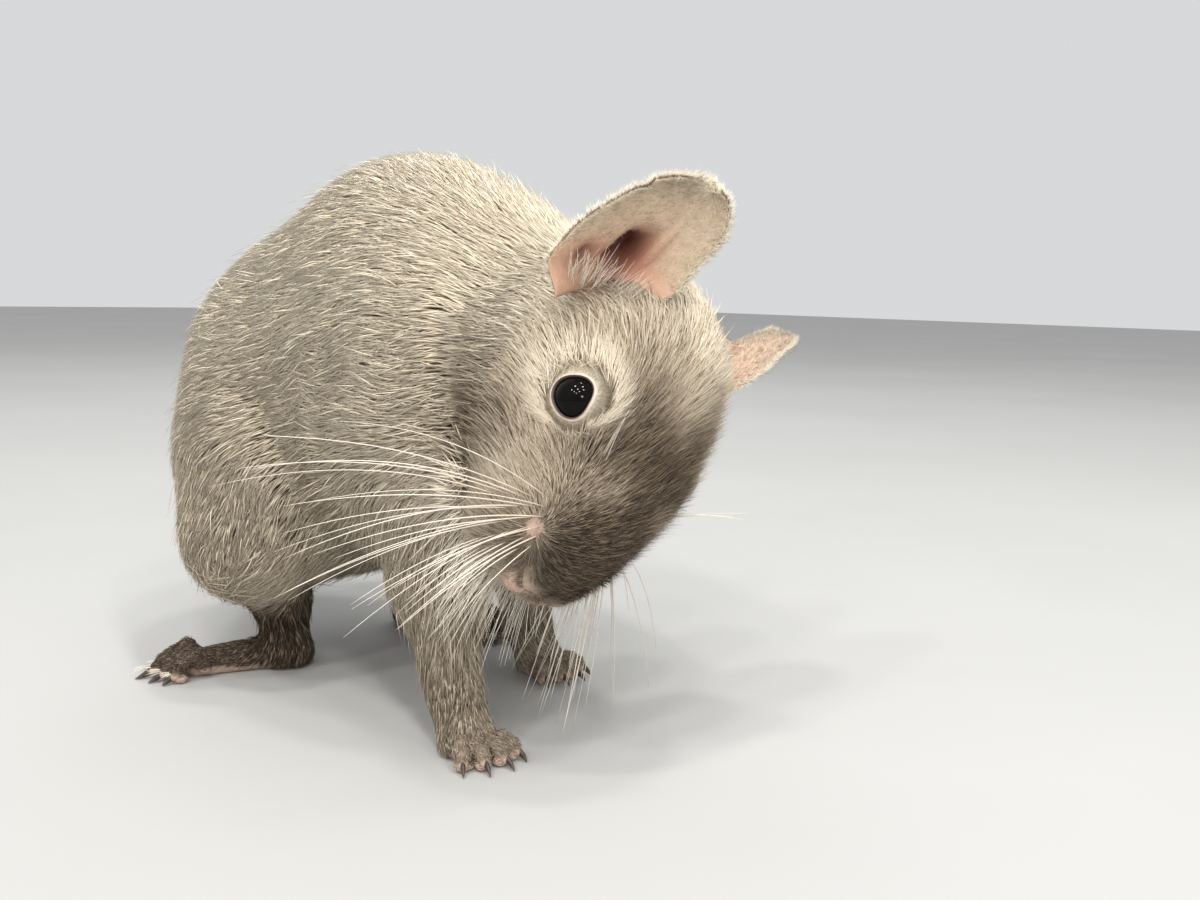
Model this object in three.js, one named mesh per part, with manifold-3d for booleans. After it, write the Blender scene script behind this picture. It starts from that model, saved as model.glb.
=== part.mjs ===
// A degu crouched on all fours, its head bowed to the floor and rolled to its right.
// Millimetres, +Z up. The torso faces -Y and +X is the animal's left side. The flesh is one
// smooth form made of round cones and ellipsoids, parted into named pieces by thin flat cuts.

import * as THREE from 'three';
import { mergeVertices } from 'three/addons/utils/BufferGeometryUtils.js';
import Module from 'manifold-3d';

const wasm = await Module();
wasm.setup();

const at = (x, y, z) => new THREE.Vector3(x, y, z);

// Driving dimensions
const GAP = 0.3;
const HEAD_STEP = 2.58;
const NECK_STEP = 4.2;
const TRUNK_STEP = 6;
const LIMB_STEP = 3;
const THIGH_STEP = 3.8;
const SHANK_STEP = 2.6;
const HAND_STEP = 1.7;
const FOOT_STEP = 2.1;
const EYE_RADIUS = 3.75;
const EYE_DEPTH = 2.8;
const EYE_SPREAD = 11.2;
const EYE_FORWARD = 1.5;
const EYE_RISE = 2.4;
const LID_RADIUS = 0.75;
const LID_OPENING = 50;
const LIP_RADIUS = 1.1;
const MOUTH_GROOVE = 0.55;
const EAR_THICKNESS = 1.0;
const EAR_WIDTH = 21.5;
const EAR_LENGTH = 23.5;
const EAR_SUNK = 5;
const TAIL_RADIUS = 2.6;
const TAIL_SEAMS = [0.34, 0.68];
const BRUSH_LOCKS = 16;
const BRUSH_LENGTH = 17;
const FINGER_LENGTH = 6.2;
const TOE_LENGTH = 8.4;
const FINGER_CLAW = 2.6;
const TOE_CLAW = 3.6;

// The head's own frame: forward to the nose, left, and up to the crown, from between the eyes
const HEAD_ORIGIN = at(0, -56.8, 50.4);
const HEAD_FORWARD = at(-0.507, -0.169, -0.845).normalize();
const HEAD_LEFT = at(0.16, -0.98, 0.1).cross(HEAD_FORWARD).normalize();
const HEAD_UP = HEAD_FORWARD.clone().cross(HEAD_LEFT);

function turnInHead(f, l, u) {
  const v = HEAD_FORWARD.clone().multiplyScalar(f);
  return v.addScaledVector(HEAD_LEFT, l).addScaledVector(HEAD_UP, u);
}

function onHead(f, l, u) {
  return turnInHead(f, l, u).add(HEAD_ORIGIN);
}

// Distance fields of the flesh
function ellipsoid(centre, radii) {
  return (p) => {
    const x = (p.x - centre.x) / radii.x;
    const y = (p.y - centre.y) / radii.y;
    const z = (p.z - centre.z) / radii.z;
    const k0 = Math.hypot(x, y, z);
    const k1 = Math.hypot(x / radii.x, y / radii.y, z / radii.z) + 1e-9;
    return (k0 * (k0 - 1)) / k1;
  };
}

function roundCone(a, b, ra, rb) {
  const axis = b.clone().sub(a);
  const l2 = axis.lengthSq();
  const rr = ra - rb;
  const a2 = l2 - rr * rr;
  const il2 = 1 / l2;
  return (p) => {
    const x = p.x - a.x;
    const y = p.y - a.y;
    const z = p.z - a.z;
    const along = x * axis.x + y * axis.y + z * axis.z;
    const past = along - l2;
    const side = Math.hypot(x * l2 - axis.x * along, y * l2 - axis.y * along, z * l2 - axis.z * along);
    const side2 = side * side;
    const k = Math.sign(rr) * rr * rr * side2;
    if (Math.sign(past) * a2 * past * past * l2 > k) {
      return Math.sqrt(side2 + past * past * l2) * il2 - rb;
    }
    if (Math.sign(along) * a2 * along * along * l2 < k) {
      return Math.sqrt(side2 + along * along * l2) * il2 - ra;
    }
    return (Math.sqrt(side2 * a2 * il2) + along * rr) * il2 - ra;
  };
}

function blend(first, second, softness) {
  return (p) => {
    const a = first(p);
    const b = second(p);
    const h = Math.max(softness - Math.abs(a - b), 0) / softness;
    return Math.min(a, b) - (h * h * softness) / 4;
  };
}

function blendAll(softness, ...shapes) {
  return shapes.reduce((whole, shape) => blend(whole, shape, softness));
}

function chain(softness, joints) {
  const lengths = [];
  for (let i = 1; i < joints.length; i += 1) {
    const [from, fromRadius] = joints[i - 1];
    const [to, toRadius] = joints[i];
    lengths.push(roundCone(from, to, fromRadius, toRadius));
  }
  return blendAll(softness, ...lengths);
}

function headField() {
  let form = ellipsoid(at(-9, 0, -1), at(15.5, 13.6, 12.8));
  form = blend(form, roundCone(at(0, 0, -1.8), at(14.5, 0, -4.2), 12.8, 9.8), 6);
  form = blend(form, ellipsoid(at(19.2, 0, -4.8), at(8, 8.2, 7.6)), 4);
  for (const side of [-1, 1]) {
    form = blend(form, ellipsoid(at(15, side * 5.8, -9.6), at(8.8, 6, 6.6)), 4);
    form = blend(form, ellipsoid(at(-3, side * 8.5, -6.5), at(14, 8.5, 10)), 8);
    form = blend(form, ellipsoid(at(3, side * 7, 4.5), at(8, 4, 4)), 6);
  }
  form = blend(form, ellipsoid(at(9, 0, 2), at(11, 8.5, 7)), 6);
  form = blend(form, roundCone(at(-8, 0, -9), at(11.5, 0, -13), 10, 5.8), 6);
  const q = at(0, 0, 0);
  const d = at(0, 0, 0);
  return (p) => {
    d.subVectors(p, HEAD_ORIGIN);
    q.set(d.dot(HEAD_FORWARD), d.dot(HEAD_LEFT), d.dot(HEAD_UP));
    return form(q);
  };
}

const NECK = blend(
  roundCone(onHead(-11, 0, -3), at(1, -24, 59), 14.5, 23.5),
  roundCone(onHead(-6, 0, -11), at(0, -22, 44), 12, 20),
  10,
);
const TAIL_ROOT = at(1, 42, 24);
const TAIL_SEAM = at(4, 55, 11);
const TORSO = blendAll(
  12,
  ellipsoid(at(0, 22, 47.5), at(29, 29, 34)),
  ellipsoid(at(2, -12, 52), at(24, 27, 32)),
  ellipsoid(at(2, -4, 61), at(25.5, 30, 32)),
);
const LIMBS = {
  arm_right: chain(4, [
    [at(-9, -28, 48), 13],
    [at(-12.5, -31, 25), 7.8],
    [at(-14, -37.5, 9), 3.8],
    [at(-14, -40.5, 2.6), 3.2],
    [at(-14, -42.5, 2.2), 3.0],
  ]),
  arm_left: chain(4, [
    [at(14, -20, 44), 12],
    [at(20, -10, 24), 8],
    [at(19.5, -13, 9), 3.8],
    [at(19.5, -16.5, 2.6), 3.2],
    [at(19.5, -18.5, 2.2), 3.0],
  ]),
  leg_right: chain(4, [
    [at(-14, 15, 38), 20],
    [at(-25, 8, 27), 11],
    [at(-15, 16, 12), 4.5],
    [at(-14, 15.5, 3), 3.4],
    [at(-29.5, 20.5, 2), 2.6],
  ]),
  leg_left: chain(4, [
    [at(16, 16, 38), 18],
    [at(24, 2, 27), 11],
    [at(20, 26, 11), 4.5],
    [at(20, 26, 3), 3.4],
    [at(24, 10, 2), 2.6],
  ]),
};

function bodyField() {
  let form = blend(headField(), NECK, 8);
  form = blend(form, TORSO, 12);
  form = blend(form, roundCone(TAIL_ROOT, TAIL_SEAM, 9, 3.4), 6);
  form = blend(form, LIMBS.arm_right, 6);
  form = blend(form, LIMBS.arm_left, 6);
  form = blend(form, LIMBS.leg_right, 7);
  return blend(form, LIMBS.leg_left, 7);
}

const BODY = bodyField();

function outward(field, p) {
  const e = 0.2;
  const n = at(
    field(at(p.x + e, p.y, p.z)) - field(at(p.x - e, p.y, p.z)),
    field(at(p.x, p.y + e, p.z)) - field(at(p.x, p.y - e, p.z)),
    field(at(p.x, p.y, p.z + e)) - field(at(p.x, p.y, p.z - e)),
  );
  return n.normalize();
}

// The point of the skin nearest to p, raised by height along the skin's normal
function settle(p, height = 0) {
  const q = p.clone();
  for (let i = 0; i < 12; i += 1) {
    q.addScaledVector(outward(BODY, q), -0.8 * BODY(q));
  }
  return q.addScaledVector(outward(BODY, q), height);
}

// Solids and meshes
function solidOf(geometry) {
  const bare = geometry.clone();
  bare.deleteAttribute('normal');
  bare.deleteAttribute('uv');
  const merged = mergeVertices(bare);
  const mesh = new wasm.Mesh({
    numProp: 3,
    vertProperties: new Float32Array(merged.getAttribute('position').array),
    triVerts: new Uint32Array(merged.index.array),
  });
  return new wasm.Manifold(mesh);
}

function largestPiece(solid) {
  const pieces = solid.decompose();
  return pieces.reduce((best, piece) => (piece.volume() > best.volume() ? piece : best));
}

function geometryOf(solid) {
  const mesh = solid.getMesh();
  const geometry = new THREE.BufferGeometry();
  const places = new Float32Array(mesh.vertProperties);
  geometry.setAttribute('position', new THREE.BufferAttribute(places, 3));
  geometry.setIndex(new THREE.BufferAttribute(new Uint32Array(mesh.triVerts), 1));
  return geometry;
}

function fromTriangles(points, triangles) {
  const geometry = new THREE.BufferGeometry();
  geometry.setAttribute('position', new THREE.BufferAttribute(new Float32Array(points), 3));
  geometry.setIndex(triangles);
  return geometry;
}

// A closed mesh of the field's zero surface between two corners, one vertex to each grid cell
function wrap(field, low, high, step) {
  const count = [0, 1, 2].map((k) => Math.ceil((high.getComponent(k) - low.getComponent(k)) / step) + 1);
  const [nx, ny, nz] = count;
  const index = (i, j, k) => (k * ny + j) * nx + i;
  const values = new Float32Array(nx * ny * nz);
  const p = at(0, 0, 0);
  const inside = (i, j, k) => i > 0 && j > 0 && k > 0 && i < nx - 1 && j < ny - 1 && k < nz - 1;
  for (let k = 0; k < nz; k += 1) {
    for (let j = 0; j < ny; j += 1) {
      for (let i = 0; i < nx; i += 1) {
        p.set(low.x + i * step, low.y + j * step, low.z + k * step);
        values[index(i, j, k)] = inside(i, j, k) ? field(p) : step;
      }
    }
  }
  const points = [];
  const cellVertex = new Int32Array(nx * ny * nz).fill(-1);
  const corner = (m) => [m & 1, (m >> 1) & 1, (m >> 2) & 1];
  const edges = [];
  for (let m = 0; m < 8; m += 1) {
    for (const bit of [1, 2, 4]) {
      if (!(m & bit)) edges.push([corner(m), corner(m | bit)]);
    }
  }
  for (let k = 0; k < nz - 1; k += 1) {
    for (let j = 0; j < ny - 1; j += 1) {
      for (let i = 0; i < nx - 1; i += 1) {
        const sum = at(0, 0, 0);
        let crossings = 0;
        for (const [a, b] of edges) {
          const va = values[index(i + a[0], j + a[1], k + a[2])];
          const vb = values[index(i + b[0], j + b[1], k + b[2])];
          if (va < 0 !== vb < 0) {
            const t = va / (va - vb);
            sum.x += i + a[0] + t * (b[0] - a[0]);
            sum.y += j + a[1] + t * (b[1] - a[1]);
            sum.z += k + a[2] + t * (b[2] - a[2]);
            crossings += 1;
          }
        }
        if (crossings) {
          const v = sum.multiplyScalar(step / crossings).add(low);
          if (inside(i, j, k) && inside(i + 1, j + 1, k + 1)) {
            v.addScaledVector(outward(field, v), -Math.max(-0.3 * step, Math.min(0.3 * step, field(v))));
          }
          cellVertex[index(i, j, k)] = points.length / 3;
          points.push(v.x, v.y, v.z);
        }
      }
    }
  }
  const triangles = [];
  const distance = (a, b) => Math.hypot(
    points[3 * a] - points[3 * b],
    points[3 * a + 1] - points[3 * b + 1],
    points[3 * a + 2] - points[3 * b + 2],
  );
  const addQuad = (a, b, c, d) => {
    if (distance(a, c) < distance(b, d)) triangles.push(a, b, c, a, c, d);
    else triangles.push(b, c, d, b, d, a);
  };
  const strides = [1, nx, nx * ny];
  for (let k = 1; k < nz - 1; k += 1) {
    for (let j = 1; j < ny - 1; j += 1) {
      for (let i = 1; i < nx - 1; i += 1) {
        const here = index(i, j, k);
        for (let axis = 0; axis < 3; axis += 1) {
          const u = strides[(axis + 1) % 3];
          const w = strides[(axis + 2) % 3];
          const solidHere = values[here] < 0;
          const solidNext = values[here + strides[axis]] < 0;
          const ring = [here - u - w, here - w, here, here - u].map((cell) => cellVertex[cell]);
          if (solidHere && !solidNext) addQuad(ring[0], ring[1], ring[2], ring[3]);
          if (!solidHere && solidNext) addQuad(ring[3], ring[2], ring[1], ring[0]);
        }
      }
    }
  }
  // A solid node on the grid's low side has its outer edges below the first inner node
  for (const [axis, n] of count.entries()) {
    const u = strides[(axis + 1) % 3];
    const w = strides[(axis + 2) % 3];
    const sizes = [count[(axis + 1) % 3], count[(axis + 2) % 3]];
    for (let b = 1; b < sizes[1] - 1; b += 1) {
      for (let a = 1; a < sizes[0] - 1; a += 1) {
        const here = a * u + b * w;
        if (n > 2 && values[here + strides[axis]] < 0) {
          const ring = [here - u - w, here - w, here, here - u].map((cell) => cellVertex[cell]);
          addQuad(ring[3], ring[2], ring[1], ring[0]);
        }
      }
    }
  }
  return solidOf(fromTriangles(points, triangles));
}

// A tapered tube with flat ends along a smooth curve, wider across than high by the factor flat
function tube(points, radii, sides, rings, flat = 1, up = at(0, 0, 1)) {
  const curve = new THREE.CatmullRomCurve3(points);
  const places = [];
  const triangles = [];
  for (let i = 0; i <= rings; i += 1) {
    const t = i / rings;
    const centre = curve.getPointAt(t);
    const tangent = curve.getTangentAt(t);
    const across = tangent.clone().cross(up).normalize();
    const over = across.clone().cross(tangent);
    const place = t * (radii.length - 1);
    const from = Math.min(Math.floor(place), radii.length - 2);
    const radius = THREE.MathUtils.lerp(radii[from], radii[from + 1], place - from);
    for (let s = 0; s < sides; s += 1) {
      const angle = (2 * Math.PI * s) / sides;
      const v = centre.clone().addScaledVector(across, flat * radius * Math.cos(angle));
      v.addScaledVector(over, radius * Math.sin(angle));
      places.push(v.x, v.y, v.z);
    }
  }
  for (let i = 0; i < rings; i += 1) {
    for (let s = 0; s < sides; s += 1) {
      const a = i * sides + s;
      const b = i * sides + ((s + 1) % sides);
      triangles.push(a, a + sides, b + sides, a, b + sides, b);
    }
  }
  const last = rings * sides;
  for (let s = 1; s < sides - 1; s += 1) {
    triangles.push(0, s, s + 1, last, last + s + 1, last + s);
  }
  return solidOf(fromTriangles(places, triangles));
}

// A block between two corners, and a square bar that starts at a point and runs along an axis
function block(low, high, grow = 0) {
  const size = high.clone().sub(low).addScalar(2 * grow);
  const centre = low.clone().add(high).multiplyScalar(0.5);
  return solidOf(new THREE.BoxGeometry(size.x, size.y, size.z).translate(centre.x, centre.y, centre.z));
}

function bar(start, axis, half, length, grow = 0, level = at(0, 0, 1).cross(axis)) {
  const along = axis.clone().normalize();
  const side = level.clone().normalize();
  const up = along.clone().cross(side);
  const matrix = new THREE.Matrix4().makeBasis(side, up, along);
  matrix.setPosition(start.clone().addScaledVector(along, length / 2));
  const geometry = new THREE.BoxGeometry(2 * (half + grow), 2 * (half + grow), length + 2 * grow);
  return solidOf(geometry.applyMatrix4(matrix));
}

// Where the flesh is cut: each entry makes its cutter, grown by a margin for its neighbours
const SEAM_TOP = onHead(-24, 0, -1);
const SEAM_LOW = onHead(14, 0, -18.6);
const HEAD_SEAM = SEAM_TOP.clone().lerp(SEAM_LOW, 0.4);
const HEAD_AXIS = SEAM_LOW.clone().sub(SEAM_TOP).cross(HEAD_LEFT);
const TAIL_AXIS = TAIL_SEAM.clone().sub(TAIL_ROOT).normalize();
const CHIN_LEVEL = -19.6;
const WRIST = 6.4;
const ANKLE = 7.2;
const FLOOR_REACH = 6;

const CUTS = {
  head: (grow) => {
    const face = bar(HEAD_SEAM, HEAD_AXIS, 40, 60, grow, HEAD_LEFT);
    return face.intersect(bar(onHead(0, 0, CHIN_LEVEL), HEAD_UP, 60, 80, grow, HEAD_LEFT));
  },
  neck: (grow) => block(at(-40, -60, 34), at(45, -33, 110), grow),
  hand_right: (grow) => block(at(-24, -60, -FLOOR_REACH), at(-3, -30, WRIST), grow),
  hand_left: (grow) => block(at(10, -36, -FLOOR_REACH), at(30, -6, WRIST), grow),
  foot_right: (grow) => block(at(-52, 6, -FLOOR_REACH), at(-5, 34, ANKLE), grow),
  foot_left: (grow) => block(at(9, -2, -FLOOR_REACH), at(38, 36, ANKLE), grow),
  shank_right: (grow) => bar(at(-20.5, 11.6, 20.2), at(10, 8, -15), 9, 26, grow),
  shank_left: (grow) => bar(at(22, 14.4, 19), at(-4, 24, -16), 9, 26, grow),
  arm_right: (grow) => block(at(-40, -60, 0), at(0, -17, 33), grow),
  arm_left: (grow) => block(at(6, -34, 0), at(45, 4, 31), grow),
  thigh_right: (grow) => block(at(-50, -16, 10), at(-16, 44, 57), grow),
  thigh_left: (grow) => block(at(18, 4.5, 10), at(50, 44, 57), grow),
  tail_base: (grow) => bar(TAIL_SEAM, TAIL_AXIS, 9, 30, grow),
  torso: (grow) => block(at(-50, -60, 0), at(50, 60, 110), grow),
};
const ORDER = Object.keys(CUTS);

const REGIONS = {
  head: [onHead(0, 0, 0).addScalar(-34), onHead(0, 0, 0).addScalar(34), HEAD_STEP],
  neck: [at(-36, -62, 28), at(42, -28, 104), NECK_STEP],
  hand_right: [at(-23, -50, -4), at(-5, -32, 12), HAND_STEP],
  hand_left: [at(11, -27, -4), at(29, -8, 12), HAND_STEP],
  foot_right: [at(-38, 8, -4), at(-6, 28, 14), FOOT_STEP],
  foot_left: [at(12, 2, -4), at(32, 34, 14), FOOT_STEP],
  shank_right: [at(-36, 2, 0), at(-4, 30, 30), SHANK_STEP],
  shank_left: [at(11.2, 0.9, 0.8), at(36, 38, 30), SHANK_STEP],
  arm_right: [at(-34, -56, 0), at(6, -12, 40), LIMB_STEP],
  arm_left: [at(0, -38, 0), at(40, 10, 38), LIMB_STEP],
  thigh_right: [at(-48, -22, 4), at(-10, 46, 64), THIGH_STEP],
  thigh_left: [at(12, -16, 4), at(48, 46, 64), THIGH_STEP],
  torso: [at(-48, -52, 4), at(50, 68, 106), TRUNK_STEP],
};

function flesh(name) {
  const [low, high, step] = REGIONS[name];
  let solid = wrap(BODY, low, high, step).intersect(CUTS[name](0));
  for (const other of ORDER.slice(0, ORDER.indexOf(name))) {
    solid = solid.subtract(CUTS[other](GAP));
  }
  return largestPiece(solid);
}

const ABOVE_FLOOR = block(at(-200, -200, 0), at(200, 200, 200));

// Fingers and toes: each bends up to its knuckle and down to a flat end that its claw meets
function digit(base, heading, length, radius, rise) {
  const along = at(Math.cos(heading), Math.sin(heading), 0);
  const place = (reach, z) => base.clone().addScaledVector(along, reach * length).setZ(z);
  const path = [base.clone(), place(0.4, base.z + rise), place(0.78, base.z + 0.45 * rise), place(1, 1.5)];
  return { path, radii: [1.1 * radius, radius, 0.9 * radius, 0.72 * radius], end: place(1, 1.5) };
}

function claw(finger, length) {
  const [before, end] = [finger.path.at(-2), finger.path.at(-1)];
  const curve = new THREE.CatmullRomCurve3(finger.path);
  const along = curve.getTangentAt(1);
  const start = end.clone().addScaledVector(along, GAP);
  const level = at(end.x - before.x, end.y - before.y, 0).normalize();
  const middle = start.clone().addScaledVector(along, 0.35 * length).addScaledVector(level, 0.15 * length);
  const tip = start.clone().addScaledVector(level, 0.8 * length).setZ(0.25);
  const radius = 0.62 * finger.radii.at(-1);
  return tube([start, middle, tip], [radius, 0.75 * radius, 0.12], 5, 3);
}

function paw(name, knuckles, heading, length, radius, rise, fan, clawLength) {
  const nodes = {};
  let solid = flesh(name);
  knuckles.forEach((base, i) => {
    const spread = fan * (i - (knuckles.length - 1) / 2);
    const share = 1 - 0.16 * Math.abs(i - (knuckles.length - 1) / 2);
    const finger = digit(base, heading + spread, length * share, radius, rise);
    solid = solid.add(tube(finger.path, finger.radii, 6, 5));
    nodes[`claw_${name}_${i + 1}`] = claw(finger, clawLength * share);
  });
  nodes[name] = largestPiece(solid.intersect(ABOVE_FLOOR));
  return nodes;
}

// Bases of the digits, side by side across the front of a paw
function acrossPaw(centre, heading, width, count, z) {
  const side = at(-Math.sin(heading), Math.cos(heading), 0);
  return Array.from({ length: count }, (_, i) => {
    const offset = width * (i / (count - 1) - 0.5);
    return centre.clone().addScaledVector(side, offset).setZ(z);
  });
}

function paws() {
  const forward = -Math.PI / 2;
  const rightFoot = Math.atan2(5, -15.5);
  const leftFoot = Math.atan2(-16, 4);
  const finger = [FINGER_LENGTH, 1.15, 1.2, 0.3, FINGER_CLAW];
  const toe = [TOE_LENGTH, 1.3, 2.3, 0.16, TOE_CLAW];
  const rightHand = acrossPaw(at(-14, -43, 0), forward - 0.1, 5.2, 4, 2);
  const leftHand = acrossPaw(at(19.5, -19, 0), forward + 0.1, 5.2, 4, 2);
  const rightToes = acrossPaw(at(-28.5, 20.2, 0), rightFoot, 6, 5, 2.2);
  const leftToes = acrossPaw(at(24, 11, 0), leftFoot, 6, 5, 2.2);
  return {
    ...paw('hand_right', rightHand, forward - 0.1, ...finger),
    ...paw('hand_left', leftHand, forward + 0.1, ...finger),
    ...paw('foot_right', rightToes, rightFoot, ...toe),
    ...paw('foot_left', leftToes, leftFoot, ...toe),
  };
}

// An ear is a thin cupped shell: width runs across it and reach from its base to its tip
const EARS = {
  ear_right: {
    root: onHead(-17, -12.5, 5.5),
    axis: [-0.62, -0.35, 0.7],
    face: [0.78, -0.22, 0.58],
    front: 1,
  },
  ear_left: {
    root: onHead(-17, 12.5, 5.5),
    axis: [-0.815, 0.572, -0.092],
    face: [0.565, 0.82, 0.087],
    front: -1,
  },
};

function ear(name) {
  const { root, axis, face, front } = EARS[name];
  const reachWay = turnInHead(...axis).normalize();
  const faceWay = turnInHead(...face);
  faceWay.addScaledVector(reachWay, -faceWay.dot(reachWay)).normalize();
  const acrossWay = faceWay.clone().cross(reachWay).multiplyScalar(-front).normalize();
  const columns = 10;
  const rows = 9;
  const sheet = (u, v) => {
    const half = EAR_WIDTH / 2 * (1 - v ** 3) ** 0.5 + 0.3;
    const middle = -2.7 + 3.4 * v ** 1.6;
    const roll = u > 0 ? 2 : 5;
    const cup = (roll * (1 - v) ** 1.5 + 1.4) * Math.abs(u) ** 2.2 + 1.8 * v * v;
    const point = root.clone().addScaledVector(reachWay, EAR_LENGTH * v - EAR_SUNK);
    point.addScaledVector(acrossWay, middle + half * u);
    return point.addScaledVector(faceWay, cup);
  };
  const places = [];
  const triangles = [];
  const stride = columns + 1;
  for (const side of [-0.5, 0.5]) {
    for (let j = 0; j <= rows; j += 1) {
      for (let i = 0; i <= columns; i += 1) {
        const u = -1 + (2 * i) / columns;
        const v = 0.985 * Math.sin(0.5 * Math.PI * j / rows);
        const e = 0.01;
        const du = sheet(Math.min(u + e, 1), v).sub(sheet(Math.max(u - e, -1), v));
        const dv = sheet(u, Math.min(v + e, 1)).sub(sheet(u, Math.max(v - e, 0)));
        const normal = du.cross(dv).normalize().multiplyScalar(front);
        const rim = Math.max(Math.abs(u) ** 6, v ** 6);
        const offset = side * EAR_THICKNESS * (1 - 0.35 * rim);
        const point = sheet(u, v).addScaledVector(normal, offset);
        places.push(point.x, point.y, point.z);
      }
    }
  }
  const back = (rows + 1) * stride;
  const quad = (a, b, c, d) => {
    if (front > 0) triangles.push(a, b, c, a, c, d);
    else triangles.push(a, c, b, a, d, c);
  };
  for (let j = 0; j < rows; j += 1) {
    for (let i = 0; i < columns; i += 1) {
      const a = j * stride + i;
      quad(a, a + stride, a + stride + 1, a + 1);
      quad(back + a, back + a + 1, back + a + stride + 1, back + a + stride);
    }
    const left = j * stride;
    const right = left + columns;
    quad(left, back + left, back + left + stride, left + stride);
    quad(right, right + stride, back + right + stride, back + right);
  }
  for (let i = 0; i < columns; i += 1) {
    const top = rows * stride + i;
    quad(i, i + 1, back + i + 1, back + i);
    quad(top, back + top, back + top + 1, top + 1);
  }
  return solidOf(fromTriangles(places, triangles));
}

function ears() {
  const [low, high, step] = REGIONS.head;
  const clearance = wrap((p) => BODY(p) - GAP, low, high, step);
  const nodes = {};
  for (const name of Object.keys(EARS)) {
    nodes[name] = largestPiece(ear(name).subtract(clearance));
  }
  return nodes;
}

// Eyes: on the skin at each side, turned a little forward and up
const EYES = {};
for (const [name, side] of [['eye_right', -1], ['eye_left', 1]]) {
  const axis = turnInHead(0.2, side * 0.92, 0.33).normalize();
  const centre = settle(onHead(EYE_FORWARD, side * EYE_SPREAD, EYE_RISE)).addScaledVector(axis, -EYE_DEPTH);
  EYES[name] = { axis, centre };
}

function ball(centre, radius) {
  return solidOf(new THREE.SphereGeometry(radius, 14, 9).translate(centre.x, centre.y, centre.z));
}

// Lids: one roll of skin round the opening, hugging the eyeball, a little wider than high
function lids({ centre, axis }) {
  const opening = THREE.MathUtils.degToRad(LID_OPENING);
  const hug = EYE_RADIUS + GAP + 0.35;
  const ring = new THREE.TorusGeometry(hug * Math.sin(opening), LID_RADIUS, 6, 18);
  const across = HEAD_FORWARD.clone().addScaledVector(axis, -HEAD_FORWARD.dot(axis)).normalize();
  const matrix = new THREE.Matrix4().makeBasis(across, axis.clone().cross(across), axis);
  matrix.setPosition(centre.clone().addScaledVector(axis, hug * Math.cos(opening)));
  return solidOf(ring.scale(1.05, 0.97, 1).applyMatrix4(matrix));
}

// The line of the mouth and the lips above and below it, from corner to corner under the muzzle
const MOUTH_CORNERS = [
  [9, 8.8, -14.6],
  [15, 7, -15],
  [20, 3.6, -13.8],
];
const MOUTH_MIDDLE = [22, 0, -12.4];

function mouthPath(rise, height) {
  const right = MOUTH_CORNERS.map(([f, l, u]) => [f, -l, u]);
  const left = MOUTH_CORNERS.toReversed();
  const forward = rise * 0.6;
  const places = [...right, MOUTH_MIDDLE, ...left];
  return places.map(([f, l, u]) => settle(onHead(f + forward, l, u + rise), height));
}

// Radii along a lip or the groove: fullest in the middle
function swell(radius) {
  return [0.5, 0.9, 1, 0.9, 0.5].map((share) => share * radius);
}

// A curved slit and the hole under its widest place
function nostril(side) {
  const slit = [[24.2, 1.5, -6.2], [25.4, 2.7, -4.9], [24.2, 4.2, -3.6]];
  const path = slit.map(([f, l, u]) => settle(onHead(f, side * l, u), 0.1));
  const hole = [settle(onHead(25.6, side * 2.5, -5), 0.6), onHead(22.8, side * 2.1, -4.8)];
  return [tube(path, [0.35, 0.6, 0.3], 5, 5), tube(hole, [0.75, 0.3], 6, 2, 1, HEAD_UP)];
}

// Head with its sockets, lids, lips, mouth line, nostrils and the cleft between nose and mouth
function head() {
  let solid = flesh('head');
  const added = [
    tube(mouthPath(1.5, -0.4), swell(LIP_RADIUS), 5, 11),
    tube(mouthPath(-1.5, -0.4), swell(0.9 * LIP_RADIUS), 5, 11),
    lids(EYES.eye_right),
    lids(EYES.eye_left),
  ];
  for (const piece of added) solid = solid.add(piece);
  const cleft = [[25.6, 0, -6.6], [24.6, 0, -9.2], [22.4, 0, -11.6]].map((p) => settle(onHead(...p)));
  const removed = [
    tube(mouthPath(0, 0), swell(MOUTH_GROOVE), 5, 11),
    tube(cleft, [0.3, 0.4, 0.4], 5, 4, 1, HEAD_LEFT),
    ...nostril(-1),
    ...nostril(1),
    ...Object.values(EYES).map(({ centre }) => ball(centre, EYE_RADIUS + GAP)),
  ];
  for (const piece of removed) solid = solid.subtract(piece);
  return largestPiece(solid);
}

// Tail: laid on the floor behind the rump, in three lengths
const TAIL_PATH = [
  TAIL_SEAM.clone().addScaledVector(TAIL_AXIS, -3),
  at(8, 63, 4.5),
  at(22, 71, 2.4),
  at(40, 73, 2.3),
  at(56, 68, 2.3),
  at(70, 57, 2.3),
];

// Flat tapered locks of the brush, in a spiral round the last part of the tail
function brush(curve, radiusAt) {
  const locks = [];
  for (let i = 0; i < BRUSH_LOCKS; i += 1) {
    const share = i / (BRUSH_LOCKS - 1);
    const t = THREE.MathUtils.lerp(0.8, 0.985, share);
    const along = curve.getTangentAt(t);
    const side = along.clone().cross(at(0, 0, 1)).normalize();
    const over = side.clone().cross(along);
    const turn = Math.PI * (0.5 + 1.15 * (((i * 0.382) % 1) - 0.5));
    const out = side.clone().multiplyScalar(Math.cos(turn)).addScaledVector(over, Math.sin(turn));
    const root = curve.getPointAt(t).addScaledVector(out, 0.35 * radiusAt(t));
    const length = BRUSH_LENGTH * (0.62 + 0.38 * share);
    const middle = root.clone().addScaledVector(along, 0.45 * length).addScaledVector(out, 2.6);
    const tip = root.clone().addScaledVector(along, length).addScaledVector(out, 2.9);
    middle.z = Math.max(middle.z, 0.9);
    tip.z = Math.max(tip.z - 0.8, 0.45);
    locks.push(tube([root, middle, tip], [0.8, 0.75, 0.15], 4, 2, 1.7, out));
  }
  return locks;
}

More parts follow.
